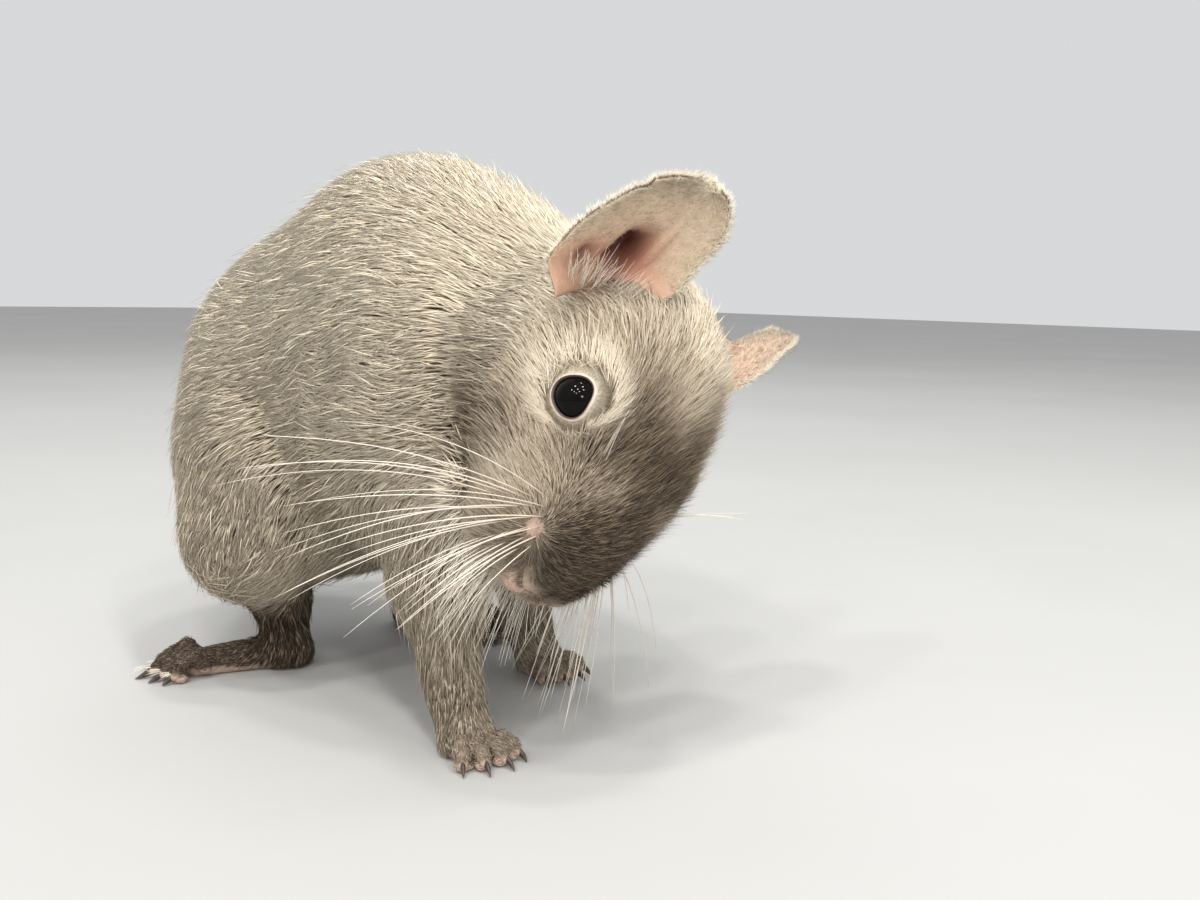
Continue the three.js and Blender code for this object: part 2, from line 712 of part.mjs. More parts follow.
function tail() {
  const curve = new THREE.CatmullRomCurve3(TAIL_PATH);
  const stops = [0, ...TAIL_SEAMS, 1];
  const gapShare = GAP / curve.getLength();
  const names = ['tail_base', 'tail_middle', 'tail_tip'];
  const nodes = {};
  const radiusAt = (t) => THREE.MathUtils.lerp(3.4, TAIL_RADIUS, Math.min(1, 3 * t));
  names.forEach((name, n) => {
    const from = stops[n];
    const to = stops[n + 1] - (n < 2 ? gapShare : 0);
    const steps = 7;
    const points = [];
    const radii = [];
    for (let i = 0; i <= steps; i += 1) {
      const t = THREE.MathUtils.lerp(from, to, i / steps);
      points.push(curve.getPointAt(t));
      radii.push(radiusAt(t) * (n === 2 ? 1 - 0.5 * (i / steps) ** 3 : 1));
    }
    nodes[name] = tube(points, radii, 10, steps).intersect(ABOVE_FLOOR);
  });
  nodes.tail_base = nodes.tail_base.intersect(bar(TAIL_SEAM, TAIL_AXIS, 40, 60));
  for (const lock of brush(curve, radiusAt)) nodes.tail_tip = nodes.tail_tip.add(lock);
  nodes.tail_tip = largestPiece(nodes.tail_tip.intersect(ABOVE_FLOOR));
  return nodes;
}

// Materials
const matt = (color, roughness) => () => new THREE.MeshStandardMaterial({ color, roughness, metalness: 0 });
const COAT = matt(0xa3927c, 0.9);
const DARK_COAT = matt(0x5d4a3c, 0.9);
const BARE_SKIN = matt(0xc99a86, 0.6);
const HORN = matt(0x4a3628, 0.45);
const EYE = matt(0x0a0808, 0.05);

const model = new THREE.Group();

function addNode(name, solid, material) {
  const mesh = new THREE.Mesh(geometryOf(solid), material());
  mesh.name = name;
  model.add(mesh);
}

addNode('head', head(), COAT);
for (const name of ['neck', 'torso', 'arm_right', 'arm_left', 'thigh_right', 'thigh_left']) {
  addNode(name, flesh(name), COAT);
}
for (const name of ['shank_right', 'shank_left']) addNode(name, flesh(name), DARK_COAT);
for (const [name, solid] of Object.entries(paws())) {
  addNode(name, solid, name.startsWith('claw') ? HORN : DARK_COAT);
}
for (const [name, solid] of Object.entries(ears())) addNode(name, solid, BARE_SKIN);
for (const [name, { centre }] of Object.entries(EYES)) addNode(name, ball(centre, EYE_RADIUS), EYE);
for (const [name, solid] of Object.entries(tail())) {
  addNode(name, solid, name === 'tail_tip' ? DARK_COAT : COAT);
}

// Origin on the floor under the middle of the whole box
const reach = new THREE.Box3().setFromObject(model);
const middle = reach.getCenter(at(0, 0, 0));
model.position.set(-middle.x, -middle.y, -reach.min.z);

export default model;
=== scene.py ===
"""A degu crouched on all fours, its head bowed and rolled to its right, on a pale floor.

Shapes are worked out in millimetres in the part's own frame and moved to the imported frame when
a mesh is made. One skin covers the flesh, and the coat is made of thin tapered tufts on it.
"""
import math

import bmesh
import bpy
import numpy as np
from mathutils import Matrix, Vector


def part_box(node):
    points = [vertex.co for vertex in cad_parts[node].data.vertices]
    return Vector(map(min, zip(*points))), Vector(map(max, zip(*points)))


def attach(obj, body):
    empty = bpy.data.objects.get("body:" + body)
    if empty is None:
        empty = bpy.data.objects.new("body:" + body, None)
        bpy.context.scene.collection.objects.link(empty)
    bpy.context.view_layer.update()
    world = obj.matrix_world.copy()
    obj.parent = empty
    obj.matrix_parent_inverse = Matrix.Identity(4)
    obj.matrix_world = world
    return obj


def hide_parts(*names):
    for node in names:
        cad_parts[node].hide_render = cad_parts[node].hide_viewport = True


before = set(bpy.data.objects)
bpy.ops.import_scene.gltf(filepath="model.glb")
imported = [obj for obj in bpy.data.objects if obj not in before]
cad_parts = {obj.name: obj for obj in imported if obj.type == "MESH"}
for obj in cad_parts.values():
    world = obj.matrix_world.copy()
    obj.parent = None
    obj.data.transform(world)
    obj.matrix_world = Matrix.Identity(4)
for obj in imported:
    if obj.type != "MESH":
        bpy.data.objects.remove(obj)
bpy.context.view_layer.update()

MM = 0.001
UP = np.array([0.0, 0.0, 1.0])
SIDES = (-1, 1)
random = np.random.default_rng(11)


def vec(*values):
    return np.array(values, float)


def unit(v):
    return v / (np.linalg.norm(v, axis=-1, keepdims=True) + 1e-12)


def distance(p, place):
    return np.linalg.norm(p - place, axis=-1)


def square_to(way, axis):
    """The unit direction that is nearest to a way and square to an axis."""
    return unit(way - (way * axis).sum(-1, keepdims=True) * axis)


def around(angle, a, b):
    """Directions at angles from a towards b."""
    return np.cos(angle)[..., None] * a + np.sin(angle)[..., None] * b


def bell(x, width, power=2):
    """One at nought, and falling smoothly to nothing past a width."""
    return np.exp(-((x / width) ** power))


def smooth_step(x, low, high):
    t = np.clip((x - low) / (high - low), 0, 1)
    return t * t * (3 - 2 * t)


# The head's own frame: forward to the nose, left, and up to the crown, from between the eyes
HEAD_ORIGIN = vec(0, -56.8, 50.4)
HEAD_FORWARD = unit(vec(-0.507, -0.169, -0.845))
HEAD_LEFT = unit(np.cross(vec(0.16, -0.98, 0.1), HEAD_FORWARD))
HEAD_UP = np.cross(HEAD_FORWARD, HEAD_LEFT)
HEAD_AXES = np.stack([HEAD_FORWARD, HEAD_LEFT, HEAD_UP])

EYE_RADIUS = 3.75
EYE_DEPTH = 2.8
EYE_PLACE = (1.5, 11.2, 2.4)
LID_OPENING = 47


def turn_in_head(f, l, u):
    return f * HEAD_FORWARD + l * HEAD_LEFT + u * HEAD_UP


def on_head(f, l, u):
    return HEAD_ORIGIN + turn_in_head(f, l, u)


# Distance fields of the flesh, for arrays of points
def ellipsoid(p, centre, radii):
    q = (p - np.array(centre, float)) / radii
    k0 = np.linalg.norm(q, axis=-1)
    k1 = np.linalg.norm(q / radii, axis=-1) + 1e-9
    return k0 * (k0 - 1) / k1


def round_cone(p, a, b, ra, rb):
    a = np.array(a, float)
    axis = np.array(b, float) - a
    l2 = axis @ axis
    rr = ra - rb
    a2 = l2 - rr * rr
    q = p - a
    along = q @ axis
    past = along - l2
    side = q * l2 - along[..., None] * axis
    side2 = (side * side).sum(-1)
    k = np.sign(rr) * rr * rr * side2
    far = np.sign(past) * a2 * past * past * l2 > k
    near = np.sign(along) * a2 * along * along * l2 < k
    to_far = np.sqrt(side2 + past * past * l2) / l2 - rb
    to_near = np.sqrt(side2 + along * along * l2) / l2 - ra
    between = (np.sqrt(side2 * a2 / l2) + along * rr) / l2 - ra
    return np.where(far, to_far, np.where(near, to_near, between))


def blend(first, second, softness):
    h = np.maximum(softness - np.abs(first - second), 0) / softness
    return np.minimum(first, second) - h * h * softness / 4


def carve(form, cutter, softness):
    return -blend(-form, cutter, softness)


def chain(p, joints, softness=4.0):
    form = None
    for (a, ra), (b, rb) in zip(joints, joints[1:]):
        piece = round_cone(p, a, b, ra, rb)
        form = piece if form is None else blend(form, piece, softness)
    return form


def head_field(p):
    q = (p - HEAD_ORIGIN) @ HEAD_AXES.T
    form = ellipsoid(q, (-9, 0, -1), vec(15.5, 13.6, 12.8))
    form = blend(form, round_cone(q, (0, 0, -1.8), (14.5, 0, -4.2), 12.8, 9.8), 6)
    form = blend(form, ellipsoid(q, (19.2, 0, -4.8), vec(8, 8.2, 7.6)), 4)
    for side in SIDES:
        form = blend(form, ellipsoid(q, (15, side * 5.8, -9.6), vec(8.8, 6, 6.6)), 4)
        form = blend(form, ellipsoid(q, (-3, side * 8.5, -6.5), vec(14, 8.5, 10)), 8)
        form = blend(form, ellipsoid(q, (3, side * 7, 4.5), vec(8, 4, 4)), 6)
    form = blend(form, ellipsoid(q, (9, 0, 2), vec(11, 8.5, 7)), 6)
    return blend(form, round_cone(q, (-8, 0, -9), (11.5, 0, -13), 10, 5.8), 6)


TAIL_ROOT = vec(1, 42, 24)
TAIL_SEAM = vec(4, 55, 11)
TAIL_AXIS = unit(TAIL_SEAM - TAIL_ROOT)
TAIL_PATH = [
    TAIL_SEAM - 3 * TAIL_AXIS,
    vec(8, 63, 4.5),
    vec(22, 71, 2.4),
    vec(40, 73, 2.3),
    vec(56, 68, 2.3),
    vec(70, 57, 2.3),
]
LIMBS = {
    "arm_right": [
        (vec(-9, -28, 48), 13),
        (vec(-12.5, -31, 25), 7.8),
        (vec(-14, -37.5, 9), 3.8),
        (vec(-14, -40.5, 2.6), 3.2),
        (vec(-14, -42.5, 2.2), 3.0),
    ],
    "arm_left": [
        (vec(14, -20, 44), 12),
        (vec(20, -10, 24), 8),
        (vec(19.5, -13, 9), 3.8),
        (vec(19.5, -16.5, 2.6), 3.2),
        (vec(19.5, -18.5, 2.2), 3.0),
    ],
    "leg_right": [
        (vec(-14, 15, 38), 20),
        (vec(-25, 8, 27), 11),
        (vec(-15, 16, 12), 4.5),
        (vec(-14, 15.5, 3), 3.4),
        (vec(-29.5, 20.5, 2), 2.6),
    ],
    "leg_left": [
        (vec(16, 16, 38), 18),
        (vec(24, 2, 27), 11),
        (vec(20, 26, 11), 4.5),
        (vec(20, 26, 3), 3.4),
        (vec(24, 10, 2), 2.6),
    ],
}


def body_field(p):
    """The outer surface of the coat, as the solids have it."""
    neck = blend(
        round_cone(p, on_head(-11, 0, -3), (1, -24, 59), 14.5, 23.5),
        round_cone(p, on_head(-6, 0, -11), (0, -22, 44), 12, 20),
        10,
    )
    form = blend(head_field(p), neck, 8)
    torso = ellipsoid(p, (0, 22, 47.5), vec(29, 29, 34))
    torso = blend(torso, ellipsoid(p, (2, -12, 52), vec(24, 27, 32)), 12)
    torso = blend(torso, ellipsoid(p, (2, -4, 61), vec(25.5, 30, 32)), 12)
    form = blend(form, torso, 12)
    form = blend(form, round_cone(p, TAIL_ROOT, TAIL_SEAM, 9, 3.4), 6)
    for name, softness in (("arm_right", 6), ("arm_left", 6), ("leg_right", 7), ("leg_left", 7)):
        form = blend(form, chain(p, LIMBS[name]), softness)
    return form


def gradient(field, p, here=None, e=0.1):
    """A field's slopes, from its values at points and one short step along each axis."""
    here = field(p) if here is None else here
    return np.stack([field(p + step) - here for step in e * np.eye(3)], -1) / e


def settle(p, field=body_field, level=0.0, rounds=10):
    """Moves points along the field's gradient on to one of its levels."""
    q = np.atleast_2d(np.array(p, float)).copy()
    for _ in range(rounds):
        here = field(q)
        g = gradient(field, q, here)
        q -= 0.8 * (here - level)[:, None] * g / ((g * g).sum(-1, keepdims=True) + 1e-9)
    return q


# Digits: each bends up to its knuckle and down to the end that its claw meets
FINGER = {"length": 6.2, "radius": 1.15, "rise": 1.2, "fan": 0.3, "claw": 2.6}
TOE = {"length": 8.4, "radius": 1.3, "rise": 2.3, "fan": 0.16, "claw": 3.6}
DIGIT_END_HEIGHT = 1.5
FORWARD = -math.pi / 2
PAWS = {
    "hand_right": (vec(-14, -43, 2), FORWARD - 0.1, 5.2, 4, FINGER),
    "hand_left": (vec(19.5, -19, 2), FORWARD + 0.1, 5.2, 4, FINGER),
    "foot_right": (vec(-28.5, 20.2, 2.2), math.atan2(5, -15.5), 6, 5, TOE),
    "foot_left": (vec(24, 11, 2.2), math.atan2(-16, 4), 6, 5, TOE),
}


def digits(name):
    """The digits of a paw, each as its path, radii and the share of its full size."""
    centre, heading, width, count, kind = PAWS[name]
    side = vec(-math.sin(heading), math.cos(heading), 0)
    found = []
    for i in range(count):
        place = i - (count - 1) / 2
        share = 1 - 0.16 * abs(place)
        base = centre + side * width * (i / (count - 1) - 0.5)
        turn = heading + kind["fan"] * place
        along = vec(math.cos(turn), math.sin(turn), 0) * kind["length"] * share
        path = [base, base + 0.4 * along, base + 0.78 * along, base + along]
        path[1][2] = base[2] + kind["rise"]
        path[2][2] = base[2] + 0.45 * kind["rise"]
        path[3][2] = DIGIT_END_HEIGHT
        radii = [kind["radius"] * f for f in (1.1, 1.0, 0.9, 0.72)]
        found.append((path, radii, share))
    return found


DIGITS = {name: digits(name) for name in PAWS}


def spline(points, shares):
    """Points of a smooth centripetal curve at shares of its length."""
    pts = [np.array(p, float) for p in points]
    pts = [2 * pts[0] - pts[1], *pts, 2 * pts[-1] - pts[-2]]
    out = []
    for p0, p1, p2, p3 in zip(pts, pts[1:], pts[2:], pts[3:]):
        t1 = np.linalg.norm(p1 - p0) ** 0.5
        t2 = t1 + np.linalg.norm(p2 - p1) ** 0.5
        t3 = t2 + np.linalg.norm(p3 - p2) ** 0.5
        for t in np.linspace(t1, t2, 24, endpoint=False):
            a1 = p0 + (p1 - p0) * t / t1
            a2 = p1 + (p2 - p1) * (t - t1) / (t2 - t1)
            a3 = p2 + (p3 - p2) * (t - t2) / (t3 - t2)
            b1 = a1 + (a2 - a1) * t / t2
            b2 = a2 + (a3 - a2) * (t - t1) / (t3 - t1)
            out.append(b1 + (b2 - b1) * (t - t1) / (t2 - t1))
    out = np.array([*out, pts[-2]])
    lengths = np.concatenate([[0], np.cumsum(np.linalg.norm(np.diff(out, axis=0), axis=1))])
    wanted = np.array(shares) * lengths[-1]
    return np.stack([np.interp(wanted, lengths, out[:, k]) for k in range(3)], -1)


# Eyes: on the skin at each side, turned a little forward and up
EYES = {}
for eye_name, eye_side in (("eye_right", -1), ("eye_left", 1)):
    eye_axis = unit(turn_in_head(0.2, eye_side * 0.92, 0.33))
    eye_start = on_head(EYE_PLACE[0], eye_side * EYE_PLACE[1], EYE_PLACE[2])
    EYES[eye_name] = (settle(eye_start)[0] - eye_axis * EYE_DEPTH, eye_axis)

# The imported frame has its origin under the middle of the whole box
low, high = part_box("eye_right")
SHIFT = np.array((low + high) / 2) / MM - EYES["eye_right"][0]


def to_frame(points):
    return (np.asarray(points, float) + SHIFT) * MM


WITHERS = vec(1, -30, 56)
MID_BACK = vec(1, -6, 57)
LOIN = vec(0, 24, 50)
TAIL_HEAD = vec(2, 44, 22)


# Coat by bone: where each stretch lies, its coat's depth, hair length and width in mm, and how
# densely its hairs stand beside the other stretches. Hair lies from a bone's start to its end.
def bones():
    head = [
        ("muzzle", on_head(25, 0, -6), on_head(16, 0, -5), 0.6, 1.7, 0.10, 42),
        ("face", on_head(16, 0, -5), on_head(4, 0, -3), 1.1, 2.7, 0.11, 34),
        ("brow", on_head(4, 0, -3), on_head(-8, 0, -2), 1.4, 3.5, 0.135, 25),
        ("crown", on_head(-8, 0, -2), on_head(-20, 0, -3), 1.8, 4.6, 0.16, 19),
        ("nape", on_head(-18, 0, -4), WITHERS, 2.3, 7.2, 0.23, 8.2),
    ]
    trunk = [
        ("shoulders", WITHERS, MID_BACK, 2.5, 9.0, 0.25, 6.4),
        ("back", MID_BACK, LOIN, 2.6, 9.5, 0.27, 5.8),
        ("rump", LOIN, TAIL_HEAD, 2.6, 9.5, 0.27, 5.8),
        ("root", TAIL_ROOT, TAIL_SEAM, 1.0, 6, 0.34, 5.4),
    ]
    limbs = []
    for name, joints in LIMBS.items():
        places = [p for p, _ in joints]
        hind = name.startswith("leg")
        limbs += [
            (name + "_top", places[0], places[1], 2.2, 7.6, 0.25, 6.4),
            (name + "_shank", places[1], places[2], 1.1, 5, 0.26, 9),
            (name + "_ankle", places[2], places[3], 0.5, 2.6, 0.2, 16),
            (name + "_paw", places[3], places[4], 0.22, 1.4 if hind else 1.1, 0.13, 22),
        ]
        for path, _, _ in DIGITS[("foot" if hind else "hand") + name[3:]]:
            limbs.append((name + "_digit", path[0], path[3], 0.1, 0.8, 0.11, 16))
    return head + trunk + limbs


BONES = bones()
DEPTHS, LENGTHS, WIDTHS, DENSITIES = (np.array([bone[k] for bone in BONES]) for k in (3, 4, 5, 6))
FACE_BONES = slice(0, 4)
TRUNK_BONES = slice(5, 8)
BONE_RADIUS = {"muzzle": 6, "face": 9, "brow": 11, "crown": 12, "nape": 18}
BONE_RADIUS.update({"shoulders": 26, "back": 29, "rump": 26, "root": 5})
DIGIT_RADIUS = 1.2


def bone_radius(name):
    if name in BONE_RADIUS:
        return BONE_RADIUS[name]
    limb, part = name.rsplit("_", 1)
    joints = [r for _, r in LIMBS[limb]]
    if part == "digit":
        return DIGIT_RADIUS
    place = ("top", "shank", "ankle", "paw").index(part)
    return 0.5 * (joints[place] + joints[place + 1])


def segment(p, a, b):
    """Distance to a segment and the nearest point's share of its length."""
    axis = b - a
    t = np.clip(((p - a) @ axis) / (axis @ axis), 0, 1)
    return np.linalg.norm(p - a - t[..., None] * axis, axis=-1), t


def mix(p, softness=2.2):
    """Weights of the bones at points, which add up to one."""
    near = np.stack([segment(p, b[1], b[2])[0] - bone_radius(b[0]) for b in BONES], -1)
    w = np.exp(-(near - near.min(-1, keepdims=True)) / softness)
    return w / w.sum(-1, keepdims=True)


def part_weight(weights, start, ends):
    """The share of the bones whose names start and end so."""
    picked = [i for i, b in enumerate(BONES) if b[0].startswith(start) and b[0].endswith(ends)]
    return weights[..., picked].sum(-1)


def coat_depth(p):
    return mix(p) @ DEPTHS


NOSE = on_head(26.5, 0, -5.6)
NOSE_REACH = 26
PAW_REACH = 22
FACE_LEVEL = -0.6


def on_skin(places, sink=0.0):
    return list(settle([on_head(*place) for place in places], level=FACE_LEVEL - sink))


WHISKER_SPOTS = list(settle([on_head(18.9, side * 7.6, -1.5) for side in SIDES], level=-0.5))
MOUTH_HALF = [(9, 8.8, -14.6), (15, 7, -15), (20, 3.6, -13.8)]
MOUTH = [(f, -l, u) for f, l, u in MOUTH_HALF] + [(22, 0, -12.4)] + MOUTH_HALF[::-1]
MOUTH_LINE = on_skin(MOUTH)
LIPS = [
    on_skin([(f - 0.5, l * 0.96, u + rise + 0.5) for f, l, u in MOUTH], 0.5)
    for rise in (1.35, -1.35)
]
CLEFT = on_skin([(27, 0, -6.5), (26, 0, -9), (23.5, 0, -11.5)])
NOSTRIL = [(26.8, 2.6, -3.6), (26.2, 3.8, -4.6), (25.0, 4.9, -3.7)]


def by_nostril(side, rise, sink):
    return on_skin([(f, side * l, u + rise) for f, l, u in NOSTRIL], sink)


NOSTRILS = {side: by_nostril(side, 0, 0.15) for side in SIDES}
NOSTRIL_ENDS = {side: by_nostril(side, 0, 1.5) for side in SIDES}
WINGS = {side: by_nostril(side, 1.4, 0.8) for side in SIDES}
LIP_PADS = {side: on_skin([(25.6, side * 3.0, -7.2)], 0.9)[0] for side in SIDES}


def fine_field(p):
    """The skin itself: the flesh under the coat, with digits, lips, mouth, nostrils, sockets."""
    form = body_field(p) + coat_depth(p)
    for name, found in DIGITS.items():
        near = distance(p, PAWS[name][0]) < PAW_REACH
        if not near.any():
            continue
        q = p[near]
        paw = form[near]
        for path, radii, _ in found:
            joints = [(a, 0.88 * r) for a, r in zip(path, radii)]
            finger = chain(q, joints, 0.6)
            pad = ellipsoid(q, path[2] * (1, 1, 0) + vec(0, 0, 0.85), vec(1.15, 1.05, 0.85))
            finger = blend(finger, pad, 0.4)
            paw = blend(paw, finger, 0.5)
        form[near] = paw
    near = distance(p, NOSE) < NOSE_REACH
    if near.any():
        form[near] = face_details(p[near], form[near])
    for centre, _ in EYES.values():
        form = carve(form, distance(p, centre) - EYE_RADIUS - 0.15, 0.6)
    return np.maximum(form, 0.02 - p[..., 2])


def face_details(p, form):
    """Adds lips, wings of the nose and lip pads, and cuts the mouth, the nostrils and the cleft."""
    for lip in LIPS:
        form = blend(form, chain(p, [(place, 0.95) for place in lip], 0.8), 1.0)
    form = carve(form, chain(p, [(place, 0.5) for place in MOUTH_LINE], 0.5), 0.7)
    for side in SIDES:
        form = blend(form, chain(p, [(place, 1.15) for place in WINGS[side]], 1.0), 1.0)
        form = blend(form, distance(p, LIP_PADS[side]) - 1.5, 1.8)
        slit = [(place, r) for place, r in zip(NOSTRILS[side], (0.34, 0.55, 0.36))]
        form = carve(form, chain(p, slit, 0.4), 0.3)
        inside = [(NOSTRILS[side][1], 0.55), (NOSTRIL_ENDS[side][1], 0.6)]
        form = carve(form, chain(p, inside, 0.4), 0.3)
    return carve(form, chain(p, [(place, 0.38) for place in CLEFT], 0.4), 0.6)


# Closed mesh of a field's zero surface, one vertex to each cell of a grid that is fine only near it
COARSE = 6
MOST_AT_ONCE = 400000
CORNERS = [(a, b, c) for a in (0, 1) for b in (0, 1) for c in (0, 1)]


def sample(field, axes, step):
    """A field's values on a grid, exact near its surface and rough elsewhere."""
    rough_axes = [a[::COARSE] for a in axes]
    rough_grid = np.stack(np.meshgrid(*rough_axes, indexing="ij"), -1).reshape(-1, 3)
    rough = field(rough_grid).reshape([len(a) for a in rough_axes])
    index = [(np.arange(len(a)) + COARSE // 2) // COARSE for a in axes]
    values = rough[np.ix_(*index)].copy()
    near = np.abs(values) < 1.5 * COARSE * step
    i, j, k = np.nonzero(near)
    points = np.stack([axes[0][i], axes[1][j], axes[2][k]], -1)
    for start in range(0, len(points), MOST_AT_ONCE):
        part = slice(start, start + MOST_AT_ONCE)
        values[i[part], j[part], k[part]] = field(points[part])
    return values


def crossing_points(values, place):
    """For each cell, the middle of the points where its edges cross the surface."""
    total = np.zeros((len(place), 3))
    crossings = np.zeros(len(place))
    at_corner = {c: values[tuple((place + c).T)] for c in CORNERS}
    for a in CORNERS:
        for k in range(3):
            if a[k]:
                continue
            b = tuple(1 if n == k else a[n] for n in range(3))
            va, vb = at_corner[a], at_corner[b]
            cross = (va < 0) != (vb < 0)
            t = np.where(cross, va / np.where(cross, va - vb, 1), 0)
            hit = np.array(a, float) + t[:, None] * (np.array(b) - np.array(a))
            total += np.where(cross[:, None], hit, 0)
            crossings += cross
    return place + total / crossings[:, None]


def crossing_quads(solid, cells, cell_vertex):
    """For each edge of the grid that crosses the surface, the quad of the cells round it."""
    quads = []
    steps = np.eye(3, dtype=int)
    for k in range(3):
        ahead, u, w = steps[k], steps[(k + 1) % 3], steps[(k + 2) % 3]
        here = solid[tuple(slice(1, n) for n in cells)]
        there = solid[tuple(slice(1 + a, n + a) for a, n in zip(ahead, cells))]
        edge = np.argwhere(here != there) + 1
        ring = [cell_vertex[tuple((edge - o).T)] for o in (u + w, w, 0 * u, u)]
        quad = np.stack(ring, -1)
        leaving = solid[tuple(edge.T)]
        quads.append(np.where(leaving[:, None], quad, quad[:, ::-1]))
    return np.concatenate(quads)


def wrap(field, low, high, step):
    counts = np.ceil((high - low) / step / COARSE).astype(int) * COARSE + 1
    axes = [low[k] + step * np.arange(counts[k]) for k in range(3)]
    values = sample(field, axes, step)
    solid = values < 0
    cells = tuple(n - 1 for n in counts)

    def shifted(offset):
        return solid[tuple(slice(o, o + n) for o, n in zip(offset, cells))].astype(np.int8)

    filled = sum(shifted(c) for c in CORNERS)
    active = (filled > 0) & (filled < len(CORNERS))
    place = np.argwhere(active)
    cell_vertex = np.full(cells, -1)
    cell_vertex[active] = np.arange(len(place))
    vertices = low + step * crossing_points(values, place)
    return vertices, crossing_quads(solid, cells, cell_vertex)


def ring_quads(rings, sides, closed=False):
    """Quads between one ring of points and the next, and from the last to the first if closed."""
    i = np.arange(rings if closed else rings - 1)[:, None]
    here, there = i * sides, (i + 1) % rings * sides
    s = np.arange(sides)[None]
    n = (s + 1) % sides
    return np.stack([here + s, there + s, there + n, here + n], -1).reshape(-1, 4)


def make_mesh(name, points, faces, smooth=True):
    """A mesh object from points in mm and an array of faces, or a list of such arrays."""
    mesh = bpy.data.meshes.new(name)
    groups = faces if isinstance(faces, list) else [faces]
    mesh.vertices.add(len(points))
    mesh.vertices.foreach_set("co", to_frame(points).astype(np.float32).ravel())
    loops = np.concatenate([g.ravel() for g in groups]).astype(np.int32)
    sizes = np.concatenate([np.full(len(g), g.shape[1]) for g in groups])
    starts = np.concatenate([[0], np.cumsum(sizes)[:-1]]).astype(np.int32)
    mesh.loops.add(len(loops))
    mesh.loops.foreach_set("vertex_index", loops)
    mesh.polygons.add(len(sizes))
    mesh.polygons.foreach_set("loop_start", starts)
    mesh.update(calc_edges=True)
    mesh.polygons.foreach_set("use_smooth", np.full(len(sizes), smooth))
    piece = bpy.data.objects.new(name, mesh)
    bpy.context.scene.collection.objects.link(piece)
    return piece


def store(piece, **values):
    """Keeps one number per vertex for the materials."""
    for name, numbers in values.items():
        attribute = piece.data.attributes.new(name, "FLOAT", "POINT")
        attribute.data.foreach_set("value", np.asarray(numbers, np.float32))


def finish_piece(piece, material, slot, *nodes):
    piece.data.materials.append(material)
    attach(piece, "root")
    if nodes:
        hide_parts(*nodes)
    return piece


# Markings, the same on skin and coat: how dark, how pale and how pink each place is
def spot(q, centre, radii):
    """One at a middle, and falling off smoothly to its reach along each axis."""
    return np.exp(-1.6 * (((q - np.array(centre)) / radii) ** 2).sum(-1))


def painted_fold_shade(p):
    """Painted shade: how near points are to the inside of the nostrils, the cleft and the mouth, where the
    skin is darkened as if shaded.
    """
    deep = np.zeros(len(p))
    folds = [(NOSTRILS[side], 0.62) for side in SIDES] + [(CLEFT, 0.35), (MOUTH_LINE, 0.4)]
    for places, width in folds:
        for a, b in zip(places, places[1:]):
            deep = np.maximum(deep, bell(segment(p, a, b)[0], width, 4))
    return deep


# Dark and pale places of the head, the same at both sides: strength, middle and reach
DARK_SPOTS = [
    (1.7, (21.5, 0, 2), (9.5, 9, 6.5)),
    (1.1, (10, 1, 7.5), (9, 8, 6)),
    (0.4, (1, 6, 9), (8, 6, 5)),
    (0.5, (8, 8.5, 4.5), (5.5, 4, 5)),
    (-0.4, (13, 4, 6.5), (3, 4, 4)),
    (0.45, (-18, 6.5, 9.5), (5, 4, 5)),
    (0.6, (6, 11, -9), (13, 7, 9)),
    (0.4, (20, 7, -6), (3.5, 3, 4)),
]
PALE_SPOTS = [(0.8, (17, 4, -17), (9, 8, 5)), (0.3, (13, 11, -6), (5, 4, 5))]
LOWER_LEG = ("shank", "ankle", "paw", "digit")


def spots(q, table):
    return sum(strength * spot(q, centre, vec(*reach)) for strength, centre, reach in table)


def pink_places(p, weights, sides):
    """Soles, lip pads, nostrils and the roots of the whiskers."""
    under = smooth_step(-p[..., 2], -2.4, -1.2)
    pink = part_weight(weights, "", ("paw", "digit")) * (0.1 + 0.9 * under)
    for side in SIDES:
        pink += bell(distance(p, LIP_PADS[side]), 2.9, 4)
        pink += 0.7 * bell(distance(p, NOSTRILS[side][1]), 2.2, 4)
    pink += 0.55 * spot(sides, (21, 6.5, -7), vec(3.5, 3, 4))
    for start in WHISKER_SPOTS:
        pink += bell(distance(p, start), 1.3)
    return pink


def markings(p):
    q = (p - HEAD_ORIGIN) @ HEAD_AXES.T
    sides = np.concatenate([q[..., :1], np.abs(q[..., 1:2]), q[..., 2:]], -1)
    weights = mix(p)
    dark = spots(sides, DARK_SPOTS) + 0.13 * smooth_step(q[..., 0], -14, 0)
    dark += 0.95 * part_weight(weights, "leg", LOWER_LEG)
    dark += 0.36 * part_weight(weights, "arm", LOWER_LEG)
    dark += 0.14 * part_weight(weights, "", ("top",))
    dark += 0.12 * smooth_step(-p[..., 2], -32, -14) * weights[..., TRUNK_BONES].sum(-1)
    pale = spots(sides, PALE_SPOTS)
    for centre, _ in EYES.values():
        pale += 0.9 * (1 - smooth_step(distance(p, centre), 4.6, 6.6))
    pink = pink_places(p, weights, sides)
    dark = dark * (1 - np.clip(pink, 0, 1) * 0.7)
    return np.clip(dark, 0, 1), np.clip(pale, 0, 1), np.clip(pink, 0, 1)


# Materials: procedural nodes in front of each tree's own shader
def material(name):
    made = bpy.data.materials.new(name)
    made.use_nodes = True
    return made, made.node_tree


def set_sockets(node, values):
    for socket, value in values.items():
        node.inputs[socket].default_value = value


def noise(tree, scale, detail=4.0):
    place = tree.nodes.new("ShaderNodeTexCoord")
    texture = tree.nodes.new("ShaderNodeTexNoise")
    set_sockets(texture, {"Scale": scale, "Detail": detail, "Roughness": 0.55})
    tree.links.new(place.outputs["Object"], texture.inputs["Vector"])
    return texture.outputs["Fac"]


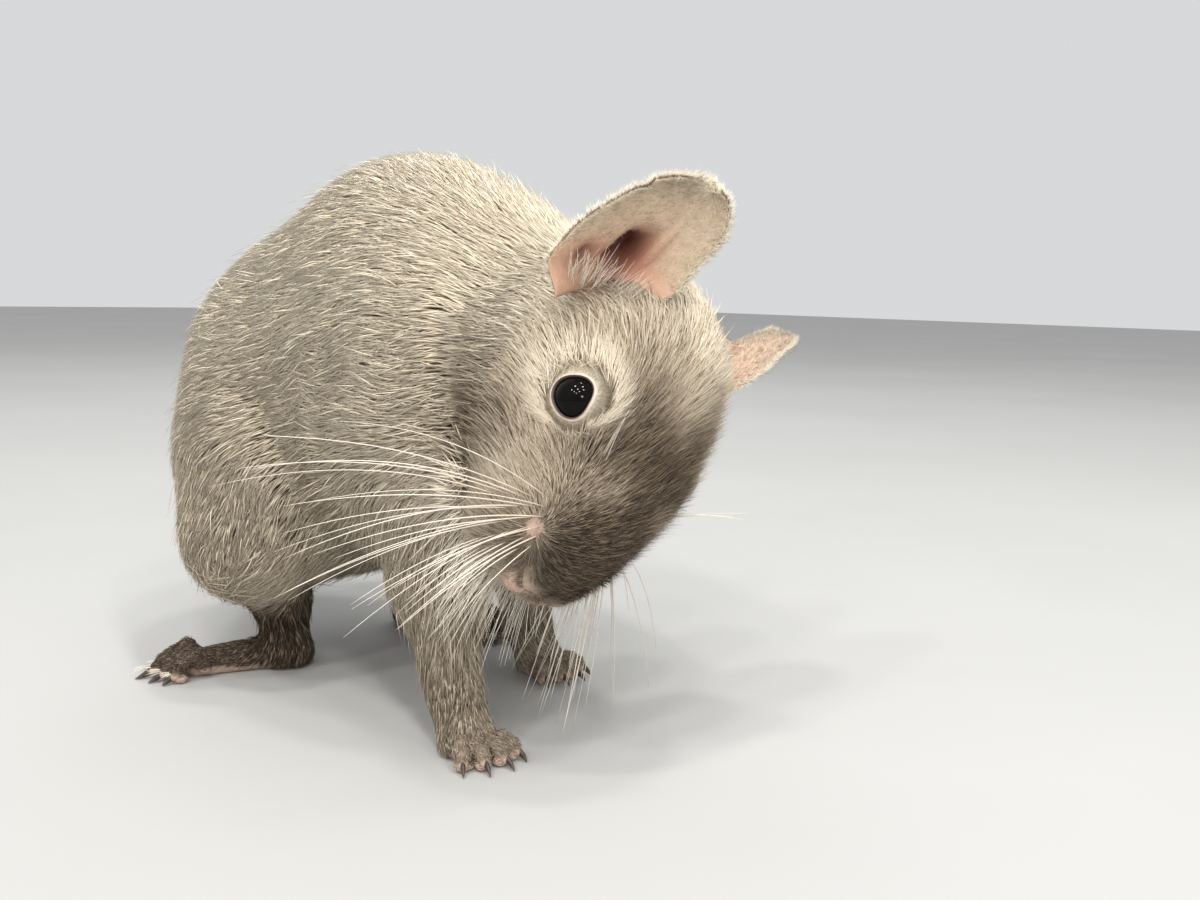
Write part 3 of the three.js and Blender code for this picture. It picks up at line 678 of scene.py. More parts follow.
def number(tree, name):
    """The number that the mesh keeps at each vertex under this name."""
    node = tree.nodes.new("ShaderNodeAttribute")
    node.attribute_name = name
    return node.outputs["Fac"]


def ramp(tree, factor, *stops):
    node = tree.nodes.new("ShaderNodeValToRGB")
    while len(node.color_ramp.elements) < len(stops):
        node.color_ramp.elements.new(0.5)
    for element, (place, colour) in zip(node.color_ramp.elements, stops):
        element.position = place
        element.color = (*colour, 1)
    tree.links.new(factor, node.inputs["Fac"])
    return node.outputs["Color"]


def mixed(tree, factor, first, second):
    node = tree.nodes.new("ShaderNodeMix")
    node.data_type = "RGBA"
    for socket, value in zip((node.inputs[0], node.inputs[6], node.inputs[7]), (factor, first, second)):
        if isinstance(value, tuple):
            socket.default_value = (*value, 1)
        else:
            tree.links.new(value, socket)
    return node.outputs[2]


def scaled(tree, value, high):
    """A value between nought and one, brought to between nought and a top value."""
    node = tree.nodes.new("ShaderNodeMapRange")
    set_sockets(node, {"To Min": 0.0, "To Max": high})
    tree.links.new(value, node.inputs["Value"])
    return node.outputs["Result"]


def shade(tree, colour, values, grain=None):
    """Joins a colour and, where given, the height, strength and depth of a grain to the shader."""
    shader = tree.nodes["Principled BSDF"]
    tree.links.new(colour, shader.inputs["Base Color"])
    set_sockets(shader, values)
    if grain:
        height, strength, depth = grain
        node = tree.nodes.new("ShaderNodeBump")
        set_sockets(node, {"Strength": strength, "Distance": depth})
        tree.links.new(height, node.inputs["Height"])
        tree.links.new(node.outputs["Normal"], shader.inputs["Normal"])


CREAM = (0.82, 0.74, 0.60)
LIGHT_HAIR = ((0.0, (0.50, 0.41, 0.30)), (0.4, (0.80, 0.70, 0.54)), (1.0, (0.97, 0.89, 0.73)))
DEEP_HAIR = ((0.0, (0.10, 0.070, 0.045)), (0.5, (0.23, 0.167, 0.108)), (1.0, (0.43, 0.33, 0.22)))
DARK_HAIR = ((0.0, (0.010, 0.007, 0.005)), (1.0, (0.034, 0.021, 0.013)))
DARK_TIPPED = ((0.0, (0.02, 0.015, 0.012)), (0.5, (0.10, 0.068, 0.045)), (1.0, (0.48, 0.35, 0.23)))
HAIR_PATCH = (0.36, 0.28, 0.19)
UNDER_COAT = ((0.3, (0.30, 0.235, 0.17)), (0.7, (0.42, 0.335, 0.245)))
DARK_SKIN = (0.05, 0.030, 0.021)
PALE_SKIN = (0.42, 0.34, 0.27)
PINK_SKIN = ((0.35, (0.44, 0.27, 0.20)), (0.7, (0.60, 0.44, 0.36)))
# Colour of the painted shade inside the nostrils, the cleft and the mouth
FOLD_SHADE_COLOUR = (0.055, 0.014, 0.010)
FLUSH = (0.68, 0.35, 0.24)
IRIS = ((0.3, (0.0012, 0.001, 0.001)), (0.8, (0.005, 0.0035, 0.003)))
HORN_ALONG = ((0.0, (0.10, 0.065, 0.045)), (0.6, (0.045, 0.030, 0.022)), (1.0, (0.16, 0.12, 0.09)))
HORN_STREAK = (0.03, 0.02, 0.016)
WHISKER_ALONG = ((0.0, (0.62, 0.52, 0.42)), (0.4, (0.82, 0.76, 0.66)), (1.0, (0.86, 0.80, 0.70)))
WHISKER_BAND = (0.6, 0.5, 0.4)


def coat_material():
    made, tree = material("coat_hair")
    tip, tone = number(tree, "tip"), number(tree, "tone")
    hair = mixed(tree, tone, ramp(tree, tip, *LIGHT_HAIR), ramp(tree, tip, *DEEP_HAIR))
    black = mixed(tree, tone, ramp(tree, tip, *DARK_TIPPED), ramp(tree, tip, *DARK_HAIR))
    marked = mixed(tree, number(tree, "dark"), hair, black)
    creamy = mixed(tree, scaled(tree, number(tree, "pale"), 0.85), marked, CREAM)
    patched = mixed(tree, scaled(tree, noise(tree, 90.0), 0.14), creamy, HAIR_PATCH)
    shade(tree, patched, {"Roughness": 0.65, "Specular IOR Level": 0.2})
    return made


def skin_material():
    made, tree = material("skin_under_coat")
    base = ramp(tree, noise(tree, 900.0), *UNDER_COAT)
    marked = mixed(tree, number(tree, "dark"), base, DARK_SKIN)
    light = mixed(tree, scaled(tree, number(tree, "pale"), 0.6), marked, PALE_SKIN)
    flesh = mixed(tree, number(tree, "pink"), light, ramp(tree, noise(tree, 1400.0), *PINK_SKIN))
    # Painted shade: the skin darkens inside the nostrils, the cleft and the mouth line
    colour = mixed(tree, number(tree, "shade"), flesh, FOLD_SHADE_COLOUR)
    shade(tree, colour, {"Roughness": 0.55}, (noise(tree, 2600.0, 6.0), 0.6, 0.0003))
    return made


def bare_material(name, dark_colour, light_colour, painted_shade_colour, roughness, scale):
    made, tree = material(name)
    grain = ramp(tree, noise(tree, scale), (0.3, dark_colour), (0.7, light_colour))
    flush = mixed(tree, number(tree, "pink"), grain, FLUSH)
    # Painted shade: the shade number darkens the bare skin towards its shade colour
    colour = mixed(tree, number(tree, "shade"), flush, painted_shade_colour)
    values = {
        "Roughness": roughness,
        "Subsurface Weight": 0.15,
        "Subsurface Radius": (0.0012, 0.0005, 0.0003),
    }
    shade(tree, colour, values, (noise(tree, 3 * scale, 6.0), 0.5, 0.0002))
    return made


def eye_material():
    made, tree = material("wet_eye")
    iris = ramp(tree, noise(tree, 500.0), *IRIS)
    shade(tree, iris, {"Roughness": 0.03, "IOR": 1.36, "Specular IOR Level": 0.2})
    return made


def horn_material():
    made, tree = material("claw_horn")
    along = ramp(tree, number(tree, "tip"), *HORN_ALONG)
    colour = mixed(tree, scaled(tree, noise(tree, 1800.0), 0.5), along, HORN_STREAK)
    shade(tree, colour, {"Roughness": 0.35}, (noise(tree, 3000.0), 0.3, 0.0001))
    return made


def whisker_material():
    made, tree = material("whisker_hair")
    along = ramp(tree, number(tree, "tip"), *WHISKER_ALONG)
    colour = mixed(tree, scaled(tree, noise(tree, 300.0), 0.3), along, WHISKER_BAND)
    shade(tree, colour, {"Roughness": 0.35, "Specular IOR Level": 0.5})
    return made


COAT = coat_material()
SKIN = skin_material()
# The last colour of each bare skin is its painted shade: in the ear's canal and on its back, and at the
# lids' edge
EAR_SKIN = bare_material(
    "ear_skin", (0.56, 0.42, 0.29), (0.72, 0.57, 0.41), (0.13, 0.035, 0.022), 0.6, 900.0
)
LID_SKIN = bare_material(
    "lid_skin", (0.50, 0.41, 0.35), (0.62, 0.53, 0.46), (0.02, 0.012, 0.010), 0.5, 1500.0
)
EYE = eye_material()
HORN = horn_material()
WHISKER = whisker_material()

FLESH = ["head", "neck", "torso", "arm_right", "arm_left", "thigh_right", "thigh_left"]
FLESH += ["shank_right", "shank_left", "hand_right", "hand_left", "foot_right", "foot_left"]
SKIN_STEP = 0.85
SKIN_LOW = vec(-42, -78, -2)
SKIN_HIGH = vec(42, 62, 96)


def refine(piece, places):
    """Splits the faces within reach of the places in two each way."""
    form = bmesh.new()
    form.from_mesh(piece.data)
    centres = np.array([v.co for v in form.verts]) / MM - SHIFT
    near = np.zeros(len(centres), bool)
    for place, reach in places:
        near |= distance(centres, place) < reach
    form.verts.ensure_lookup_table()
    edges = [e for e in form.edges if near[e.verts[0].index] and near[e.verts[1].index]]
    bmesh.ops.subdivide_edges(form, edges=edges, cuts=1, use_grid_fill=True)
    form.to_mesh(piece.data)
    form.free()


def points_of(piece):
    co = np.zeros(len(piece.data.vertices) * 3, np.float32)
    piece.data.vertices.foreach_get("co", co)
    return co.reshape(-1, 3).astype(float) / MM - SHIFT


def set_points(piece, points):
    piece.data.vertices.foreach_set("co", to_frame(points).astype(np.float32).ravel())
    piece.data.update()


def make_skin():
    vertices, quads = wrap(fine_field, SKIN_LOW, SKIN_HIGH, SKIN_STEP)
    vertices = settle(vertices, fine_field, rounds=2)
    skin = make_mesh("skin", vertices, quads)
    fine = [(on_head(24, 0, -8), 8.5), (on_head(15, 7, -14.5), 5), (on_head(15, -7, -14.5), 5)]
    finest = [(NOSTRILS[1][1], 3.8), (NOSTRILS[-1][1], 3.8), (CLEFT[1], 3.6)]
    for found in DIGITS.values():
        fine += [(path[k], 3.2) for path, _, _ in found for k in (0, 2, 3)]
        finest += [(path[3], 1.8) for path, _, _ in found]
    for places in (fine, finest):
        refine(skin, places)
        set_points(skin, settle(points_of(skin), fine_field, rounds=2))
    points = points_of(skin)
    dark, pale, pink = markings(points)
    # The shade number here is painted shade in the folds of the face
    store(skin, dark=dark, pale=pale, pink=pink, shade=painted_fold_shade(points))
    return finish_piece(skin, SKIN, "coat", *FLESH)


def triangles_of(piece):
    piece.data.calc_loop_triangles()
    tris = np.zeros(len(piece.data.loop_triangles) * 3, np.int32)
    piece.data.loop_triangles.foreach_get("vertices", tris)
    return tris.reshape(-1, 3)


def unwrap(p, centre, axis):
    """Equal-area map of the shape seen from a point inside it, from pole to pole of an axis."""
    a = unit(np.cross(axis, vec(0.31, 0.2, 0.93)))
    b = np.cross(axis, a)
    q = unit(p - centre)
    turn = np.arctan2(q @ b, q @ a) / (2 * math.pi) + 0.5
    rise = 0.5 - 0.5 * (q @ axis)
    return np.stack([0.004 + 0.992 * turn, 0.004 + 0.992 * rise], -1)


# Corners of a hair on its patch of the map, its triangles, and how far along it each corner is.
# A plain hair is widest at its root, and a bent one at its middle.
PATCH = 0.003
PLAIN = {
    "map": [(-0.5, -0.5), (0.5, -0.5), (0, -0.3), (0, 0.5)],
    "faces": [(0, 1, 2), (0, 3, 1), (1, 3, 2), (2, 3, 0)],
    "along": [0, 0, 0, 1],
}
BENT = {
    "map": [(0, -0.5), (-0.5, 0.0), (0.5, 0.0), (0, 0.12), (0, 0.5)],
    "faces": [(1, 2, 0), (2, 3, 0), (3, 1, 0), (1, 4, 2), (2, 4, 3), (3, 4, 1)],
    "along": [0, 0.5, 0.5, 0.5, 1],
}


ROOT_SUNK = 0.35


def add_map(piece, per_vertex):
    layer = piece.data.uv_layers.new(name="OFBake")
    loops = np.zeros(len(piece.data.loops), np.int32)
    piece.data.loops.foreach_get("vertex_index", loops)
    layer.data.foreach_set("uv", np.clip(per_vertex[loops], 0, 1).astype(np.float32).ravel())


def tufts(name, slot, hair, centre, axis):
    """One mesh of closed three-sided tapered hairs from arrays of roots, middles and tips."""
    root, tip, up, width = hair["root"], hair["tip"], hair["normal"], hair["width"][:, None]
    bent = "middle" in hair
    form = BENT if bent else PLAIN
    way = unit((hair["middle"] if bent else tip) - root)
    across = unit(np.cross(way, up))
    over = np.cross(across, way)
    base = root - ROOT_SUNK * up
    widest = hair["middle"] if bent else base
    ring = [widest - 0.5 * width * across, widest + 0.5 * width * across, widest + 0.34 * width * over]
    points = np.stack([base, *ring, tip] if bent else [*ring, tip], 1)
    count, per = points.shape[:2]
    faces = np.array(form["faces"])[None] + per * np.arange(count)[:, None, None]
    piece = make_mesh(name, points.reshape(-1, 3), faces.reshape(-1, 3))
    values = {k: np.repeat(hair[k], per) for k in ("tone", "dark", "pale")}
    store(piece, tip=np.tile(form["along"], count), **values)
    patch = np.array(form["map"]) * PATCH
    add_map(piece, (unwrap(root, centre, axis)[:, None] + patch[None]).reshape(-1, 2))
    return finish_piece(piece, COAT, slot)


REARWARDS = vec(0, 1, 0)


# Coat pieces: the bones that each covers, and the middle and axis of its map
def coat_groups():
    names = [b[0] for b in BONES]
    groups = {
        "head": (["muzzle", "face", "brow", "crown"], on_head(2, 0, -3), HEAD_FORWARD),
        "neck": (["nape"], 0.5 * (on_head(-28, 0, -4) + WITHERS), unit(WITHERS - on_head(-18, 0, -4))),
        "shoulders": (["shoulders"], vec(1, -18, 56), REARWARDS),
        "back": (["back"], vec(0, 8, 54), REARWARDS),
        "rump": (["rump", "root"], vec(0, 30, 42), REARWARDS),
    }
    for limb in LIMBS:
        parts = [n for n in names if n.startswith(limb)]
        top, low = LIMBS[limb][0][0], LIMBS[limb][2][0]
        groups[limb] = (parts, 0.5 * (top + low), unit(low - top))
    return groups


def swirl(p, scale, seed):
    """Smooth noise in about -1 to 1, from a few waves."""
    waves = np.random.default_rng(seed).normal(size=(5, 4))
    total = sum(np.sin((p @ w[:3]) / scale + 9 * w[3]) for w in waves)
    return total / 3


def lie_of(p, normal, weights):
    """Direction along the skin in which the coat lies."""
    way = weights @ np.array([unit(b[2] - b[1]) for b in BONES])
    for start in WHISKER_SPOTS:
        away = p - start
        reach = np.linalg.norm(away, axis=-1, keepdims=True)
        way = way + 2.4 * np.exp(-reach / 8) * away / (reach + 0.1)
    way = way - 0.28 * weights[:, TRUNK_BONES].sum(-1, keepdims=True) * UP
    for centre, _ in EYES.values():
        away = p - centre
        reach = np.linalg.norm(away, axis=-1, keepdims=True)
        way = way + 1.7 * np.exp(-((reach - 3.9) / 1.8)) * away / reach
    return square_to(way, normal)


def grow(skin, total):
    """Roots of the coat's hairs, spread by density, and the skin's normals there."""
    points = points_of(skin)
    tris = triangles_of(skin)
    a, b, c = (points[tris[:, k]] for k in range(3))
    cross = np.cross(b - a, c - a)
    area = 0.5 * np.linalg.norm(cross, axis=-1)
    density = mix((a + b + c) / 3) @ DENSITIES
    chance = np.cumsum(area * density)
    picked = np.searchsorted(chance, random.random(total) * chance[-1])
    picked = np.minimum(picked, len(tris) - 1)
    s, t = random.random((2, total))
    s, t = np.where(s + t > 1, 1 - s, s), np.where(s + t > 1, 1 - t, t)
    root = a[picked] + s[:, None] * (b - a)[picked] + t[:, None] * (c - a)[picked]
    normal = unit(cross[picked])
    keep = hair_grows(root, normal)
    return root[keep], normal[keep]


def clear_of_eyes(p, reach):
    """Where points aren't in front of either eye, within a reach of its axis."""
    clear = np.ones(len(p), bool)
    for centre, axis in EYES.values():
        away = p - centre
        off_axis = np.linalg.norm(away - (away @ axis)[:, None] * axis, axis=-1)
        clear &= (off_axis > reach) | (away @ axis < 0)
    return clear


def cut_to_stubs(hair, picked):
    for key in ("middle", "tip"):
        hair[key][picked] = hair["root"][picked] + 0.4 * (hair[key][picked] - hair["root"][picked])


def hair_grows(root, normal):
    """Where the coat isn't bare: off the soles, eyes, nostrils, cleft, lip pads and digits' ends."""
    keep = ~((root[:, 2] < 2.0) & (normal[:, 2] < -0.2)) & (root[:, 2] > 0.6)
    keep &= clear_of_eyes(root, 3.1)
    for side in SIDES:
        slit = NOSTRILS[side]
        from_slit = np.minimum(segment(root, slit[0], slit[1])[0], segment(root, slit[1], slit[2])[0])
        keep &= (from_slit > 2.2) | ((from_slit > 0.8) & (random.random(len(root)) < 0.45))
    keep &= segment(root, CLEFT[0], CLEFT[2])[0] > 0.9
    for side in SIDES:
        from_lip = distance(root, LIP_PADS[side])
        keep &= (from_lip > 3.0) | (random.random(len(root)) < 0.4)
    for start in WHISKER_SPOTS:
        keep &= distance(root, start) > 0.8
    for end in [path[3] for found in DIGITS.values() for path, _, _ in found]:
        keep &= distance(root, end) > 1.1
    return keep


def outer_field(p):
    """The coat's outer surface together with the start of the tail."""
    return np.minimum(body_field(p), chain(p, list(zip(TAIL_PATH, (3.4, 3.2, 2.9)))))


GUARD_SHARE = 0.035
LIGHT_TIPPED = 0.18
FLOOR_GAP = 0.15


def from_eyes(p):
    return np.min([distance(p, centre) for centre, _ in EYES.values()], axis=0)


def waver(root, normal, lie):
    """Turns the way that hairs lie a little, in locks and singly."""
    across = np.cross(normal, lie)
    turn = 0.25 * swirl(root, 7.0, 3) + 0.2 * swirl(root, 2.2, 5)
    turn = turn + 0.17 * random.normal(size=len(root))
    return around(turn, lie, across)


def raise_hair(hair, weights, depth, length, height):
    """Lifts middles and tips to their height over the flesh, and keeps them over the floor."""
    root, normal, middle, tip = (hair[k] for k in ("root", "normal", "middle", "tip"))
    paw = smooth_step(part_weight(weights, "", ("paw", "digit")), 0.05, 0.4)
    for _ in range(2):
        for place, share in ((tip, 1.0), (middle, 0.62)):
            shift = share * height - depth - outer_field(place)
            place += normal * (np.clip(shift, -0.35 * length, 0.45 * length) * (1 - paw))[:, None]
    on_face = weights[:, FACE_BONES].sum(-1)
    tip += normal * (0.55 * on_face * random.random(len(root)) ** 2.5 * length)[:, None]
    tip += normal * (paw * height)[:, None]
    middle += normal * (0.8 * paw * height)[:, None]
    for place in (tip, middle):
        place[:, 2] = np.maximum(place[:, 2], FLOOR_GAP)


def hair_tones(root, weights):
    """How dark, pale and deep in tone each hair is, and which dark ones end in a light tip."""
    count = len(root)
    dark, pale, _ = markings(root)
    head = weights[:, FACE_BONES].sum(-1)
    speckle = 0.12 + 0.24 * head + (0.08 + 0.1 * head) * swirl(root, 2.6, 8)
    speckle = np.clip(speckle + (0.14 + 0.36 * head) * random.normal(size=count), 0, 1)
    dark = np.clip(1.2 * dark * (1 + 0.15 * random.normal(size=count)), 0, 1)
    light_tipped = random.random(count) < LIGHT_TIPPED
    speckle = speckle + (np.where(light_tipped, 0.0, 0.95) - speckle) * dark
    return dark, pale, speckle, light_tipped


def shape_hair(root, normal):
    """Middles, tips, widths and looks of the hairs that stand on these roots."""
    weights = mix(root)
    count = len(root)
    depth, length, width = weights @ DEPTHS, weights @ LENGTHS, weights @ WIDTHS
    lie = waver(root, normal, lie_of(root, normal, weights))
    guard = (random.random(count) < GUARD_SHARE) & (from_eyes(root) > 8)
    length = length * random.uniform(0.65, 1.2, count) * np.where(guard, 1.3, 1)
    crease = smooth_step(-depth - outer_field(root + lie * length[:, None]), 0.4, 2.6)
    length = length * (1 - 0.7 * crease)
    height = depth * (0.3 + 0.75 * random.random(count) ** 0.7)
    height += np.where(guard, depth * random.uniform(0.2, 0.8, count), 0)
    height += 0.5 * (1 - smooth_step(from_eyes(root), 4.2, 6.5))
    hair = {"root": root, "normal": normal}
    hair["middle"] = root + lie * 0.5 * length[:, None]
    hair["tip"] = root + lie * length[:, None]
    raise_hair(hair, weights, depth, length, height)
    dark, pale, speckle, light_tipped = hair_tones(root, weights)
    width = width * (1 + 0.45 * light_tipped * dark) * np.where(guard, 0.7, 1)
    hair["width"] = 1.12 * width * random.uniform(0.75, 1.25, count)
    hair["tone"] = speckle * np.where(guard, 0.3, 1)
    hair["dark"] = dark
    hair["pale"] = np.clip(pale + 0.06 * random.normal(size=count), 0, 1)
    hair["bone"] = weights.argmax(-1)
    return hair


COAT_HAIRS = 242000
MOST_TRIANGLES = 190000


def on_bones(hair, picked):
    """Which hairs stand on the bones whose names are picked."""
    return np.isin(hair["bone"], [i for i, bone in enumerate(BONES) if picked(bone[0])])


def make_coat(skin):
    root, normal = grow(skin, COAT_HAIRS)
    hair = shape_hair(root, normal)
    cut_to_stubs(hair, ~clear_of_eyes(hair["tip"], 3.9))
    clear = clear_of_eyes(hair["tip"], 3.3)
    on_paws = on_bones(hair, lambda name: name.endswith(("paw", "digit")))
    clear[on_paws] &= fine_field(hair["tip"][on_paws]) < 0.55
    for group, (parts, centre, axis) in coat_groups().items():
        picked = np.nonzero(clear & on_bones(hair, lambda name: name in parts))[0]
        turn = unwrap(hair["root"][picked], centre, axis)[:, 0]
        picked = picked[np.argsort(turn, kind="stable")]
        plain = group == "head"
        most = MOST_TRIANGLES // len((PLAIN if plain else BENT)["faces"])
        pieces = math.ceil(len(picked) / most)
        for n, part in enumerate(np.array_split(picked, pieces)):
            one = {k: v[part] for k, v in hair.items() if not (plain and k == "middle")}
            tufts(f"coat_{group}_{n + 1}", "coat", one, centre, axis)


# Tapered round tubes along curves, for whiskers, claws and tail
def tube(curve, radii, sides, up=UP, flat=1.0):
    """Points and quads of a tube, the rings at its two ends, and each point's share of the way."""
    tangent = unit(np.gradient(curve, axis=0))
    across = unit(np.cross(tangent, up))
    over = np.cross(across, tangent)
    angle = 2 * math.pi * np.arange(sides) / sides
    ring = around(angle, across[:, None] * flat, over[:, None])
    points = curve[:, None] + np.asarray(radii)[:, None, None] * ring
    count = len(curve)
    numbers = np.arange(count * sides).reshape(count, sides)
    ends = [numbers[0], numbers[-1, ::-1]]
    share = np.repeat(np.linspace(0, 1, count), sides)
    return points.reshape(-1, 3), ring_quads(count, sides), ends, share


def join_tubes(name, tubes_made):
    """One mesh of closed tubes, which keeps each point's share of its tube's way."""
    quads, caps = [], []
    base = 0
    for places, faces, ends, _ in tubes_made:
        quads.append(faces + base)
        caps += [end + base for end in ends]
        base += len(places)
    points = np.concatenate([one[0] for one in tubes_made])
    piece = make_mesh(name, points, [np.concatenate(quads), np.array(caps)])
    store(piece, tip=np.concatenate([one[3] for one in tubes_made]))
    return piece


def level_way(path):
    """The level direction in which a digit ends."""
    return unit((path[3] - path[2]) * (1, 1, 0))


# Claws: curved, narrow and pointed, each in place of its solid
def make_claws():
    for paw, found in DIGITS.items():
        size = PAWS[paw][4]["claw"]
        for i, (path, radii, share) in enumerate(found):
            along = unit(spline(path, [1.0])[0] - spline(path, [0.96])[0])
            level = level_way(path)
            start = path[3] + 0.1 * along
            length = size * share
            middle = start + 0.4 * length * along + 0.2 * length * level + vec(0, 0, 0.25)
            tip = start + 0.85 * length * level
            tip[2] = 0.2
            steps = np.linspace(0, 1, 12)
            curve = spline([start - 0.6 * along, middle, tip], steps)
            radius = 0.72 * radii[3] * (1 - steps ** 1.7) ** 0.75 + 0.04
            made = tube(curve, radius, 10, flat=0.72)
            piece = join_tubes(f"claw_piece_{paw}_{i + 1}", [made])
            finish_piece(piece, HORN, "horn", f"claw_{paw}_{i + 1}")


BRISTLES_PER_TOE = 11


def make_toe_bristles():
    """Stiff cream hairs that arch over each hind claw."""
    made = []
    for paw in ("foot_right", "foot_left"):
        for path, _, share in DIGITS[paw]:
            level = level_way(path)
            side = np.cross(level, UP)
            for _ in range(BRISTLES_PER_TOE):
                start = path[3] + 0.35 * random.normal() * side + vec(0, 0, 0.45) - 0.5 * level
                way = unit(level + vec(0, 0, random.uniform(0.15, 0.6)) + 0.16 * random.normal() * side)
                length = random.uniform(2.6, 4.6) * share
                made.append(bristle(start, way, length, vec(0, 0, -0.42) * length, 0.055, 7))
    return finish_piece(join_tubes("toe_bristles", made), WHISKER, "coat")


# Eyes and lids
def eye_frame(name):
    """An eyeball's middle and axis, and directions across it towards the nose and down."""
    centre, axis = EYES[name]
    a = square_to(HEAD_FORWARD, axis)
    b = np.cross(axis, a) * (1 if name == "eye_left" else -1)
    return centre, axis, a, b


def on_ball(angle, ring, axis):
    """Directions from the ball's middle, at angles from its axis towards its ring."""
    return np.sin(angle)[..., None] * ring + np.cos(angle)[..., None] * axis


def make_eye(name):
    """An eyeball that bulges a little at its front."""
    centre, axis = EYES[name]
    rows, columns = 40, 56
    a = square_to(HEAD_FORWARD, axis)
    theta = np.linspace(0, math.pi, rows + 1)[1:-1]
    ring = around(2 * math.pi * np.arange(columns) / columns, a, np.cross(axis, a))
    bulge = EYE_RADIUS * (1 + 0.05 * bell(theta, 0.55))
    points = centre + bulge[:, None, None] * on_ball(theta[:, None], ring, axis)
    poles = [centre + 1.05 * EYE_RADIUS * axis, centre - EYE_RADIUS * axis]
    points = np.concatenate([points.reshape(-1, 3), poles])
    top, bottom = len(points) - 2, len(points) - 1
    last = (rows - 2) * columns
    s = np.arange(columns)
    n = (s + 1) % columns
    fans = [np.stack([0 * s + top, s, n], -1), np.stack([0 * s + bottom, last + n, last + s], -1)]
    faces = [ring_quads(rows - 1, columns), np.concatenate(fans)]
    piece = make_mesh(name.replace("eye", "eyeball"), points, faces)
    return finish_piece(piece, EYE, "eye", name)


def lid_edge(turn):
    """The angle from the axis at which the ball goes under the lids: a rounded triangle."""
    corner = turn + math.radians(10)
    return np.radians(LID_OPENING - 1.5 + 3.6 * np.cos(3 * corner) + 2.2 * np.cos(corner))


def lid_radius(turn, share, outer):
    """How far the lids' outer or inner face is from the ball's middle, across the fold."""
    if not outer:
        return EYE_RADIUS * 0.985 - 0.35 * share + 0 * turn
    lift = 0.08 + 0.36 * math.sin(math.pi * min(1, 0.16 + 0.84 * share)) ** 0.7
    lift = lift + 0.10 * np.cos(4 * math.pi * share) * np.exp(-4 * share)
    lift = lift + 0.03 * np.sin(11 * turn + 5 * share) * share - 0.9 * max(0, share - 0.7)
    return EYE_RADIUS * 1.01 + lift


def make_lids(name):
    """Two soft folds of pale skin round the eye, from the ball's edge down to the coat, with painted shade
    where they meet the ball.
    """
    centre, axis, a, b = eye_frame(name)
    columns, rows = 96, 20
    turn = 2 * math.pi * np.arange(columns) / columns
    ring = around(turn, a, b)
    canthus = bell(np.minimum(turn, 2 * math.pi - turn), 0.35)
    profile = np.linspace(0, 1, rows)
    shells = []
    for outer in (True, False):
        for share in profile if outer else profile[::-1]:
            angle = lid_edge(turn) + np.radians(13 - 3 * canthus) * share
            radius = lid_radius(turn, share, outer)
            shells.append(centre + radius[:, None] * on_ball(angle, ring, axis))
    quads = ring_quads(2 * rows, columns, closed=True)
    if name == "eye_right":
        quads = quads[:, ::-1]
    piece = make_mesh(name.replace("eye", "lids"), np.concatenate(shells), quads)
    # Painted shade: a dark band along the lids' edge and over their inner face, where they meet the ball
    edge = np.repeat(0.9 * bell(profile, 0.04), columns)
    pink = np.tile(0.04 + 0.2 * canthus, rows)
    inner = np.ones(rows * columns)
    store(piece, shade=np.concatenate([edge, inner]), pink=np.concatenate([pink, inner]))
    finish_piece(piece, LID_SKIN, "bare_skin")
    make_lashes(name)


LASHES = 4200


def make_lashes(name):
    """Tiny pale hairs that lie outwards over the lids and into the coat."""
    centre, axis, a, b = eye_frame(name)
    count = LASHES
    turn = random.uniform(0, 2 * math.pi, count)
    share = random.uniform(0.15, 1.6, count)
    angle = lid_edge(turn) + np.radians(16) * share
    ring = around(turn, a, b)
    place = on_ball(angle, ring, axis)
    radius = EYE_RADIUS + 0.46 - 0.4 * np.maximum(0, share - 0.7)
    root = centre + radius[:, None] * place
    way = unit(around(angle, ring, -axis) + 0.25 * random.normal(size=(count, 3)))
    way = square_to(way, place)
    length = random.uniform(0.7, 1.5, count) * (1 + 0.5 * share)
    hair = {
        "root": root,
        "normal": place,
        "tip": root + length[:, None] * unit(way + 0.3 * place),
        "width": random.uniform(0.08, 0.12, count),
        "tone": np.clip(0.25 + 0.3 * share + 0.35 * random.normal(size=count), 0, 1),
        "dark": np.zeros(count),
        "pale": np.clip(0.9 - 0.6 * share, 0, 1),
    }
    tufts(name.replace("eye", "coat_lids"), "coat", hair, centre, axis)


# Ears: thin cupped shells with a folded rim and a canal, haired inside and out
EAR_WIDTH = 21.5
EAR_LENGTH = 22.7
EAR_SUNK = 5.0
EAR_THICKNESS = 0.75
EAR_TOP = 0.985

# Folds of the cup: height, then middle and reach across the ear and along it
EAR_FOLDS = [
    (1.3, 0.26, 0.09, 0.44, 0.18),
    (1.1, -0.32, 0.09, 0.38, 0.14),
    (-1.6, -0.55, 0.13, 0.25, 0.08),
]

# Where each ear is rooted, its directions along and out of the cup in the head, and its side
EARS = {
    "ear_right": (on_head(-17, -12.5, 5.5), (-0.62, -0.35, 0.7), (0.78, -0.22, 0.58), 1),
    "ear_left": (on_head(-17, 12.5, 5.5), (-0.815, 0.572, -0.092), (0.565, 0.82, 0.087), -1),
}


def ear_frame(name):
    """An ear's root, and directions along it, out of its cup and across to its front."""
    root, axis, face, front = EARS[name]
    reach_way = unit(turn_in_head(*axis))
    face_way = square_to(turn_in_head(*face), reach_way)
    across_way = unit(-front * np.cross(face_way, reach_way))
    return root, reach_way, face_way, across_way


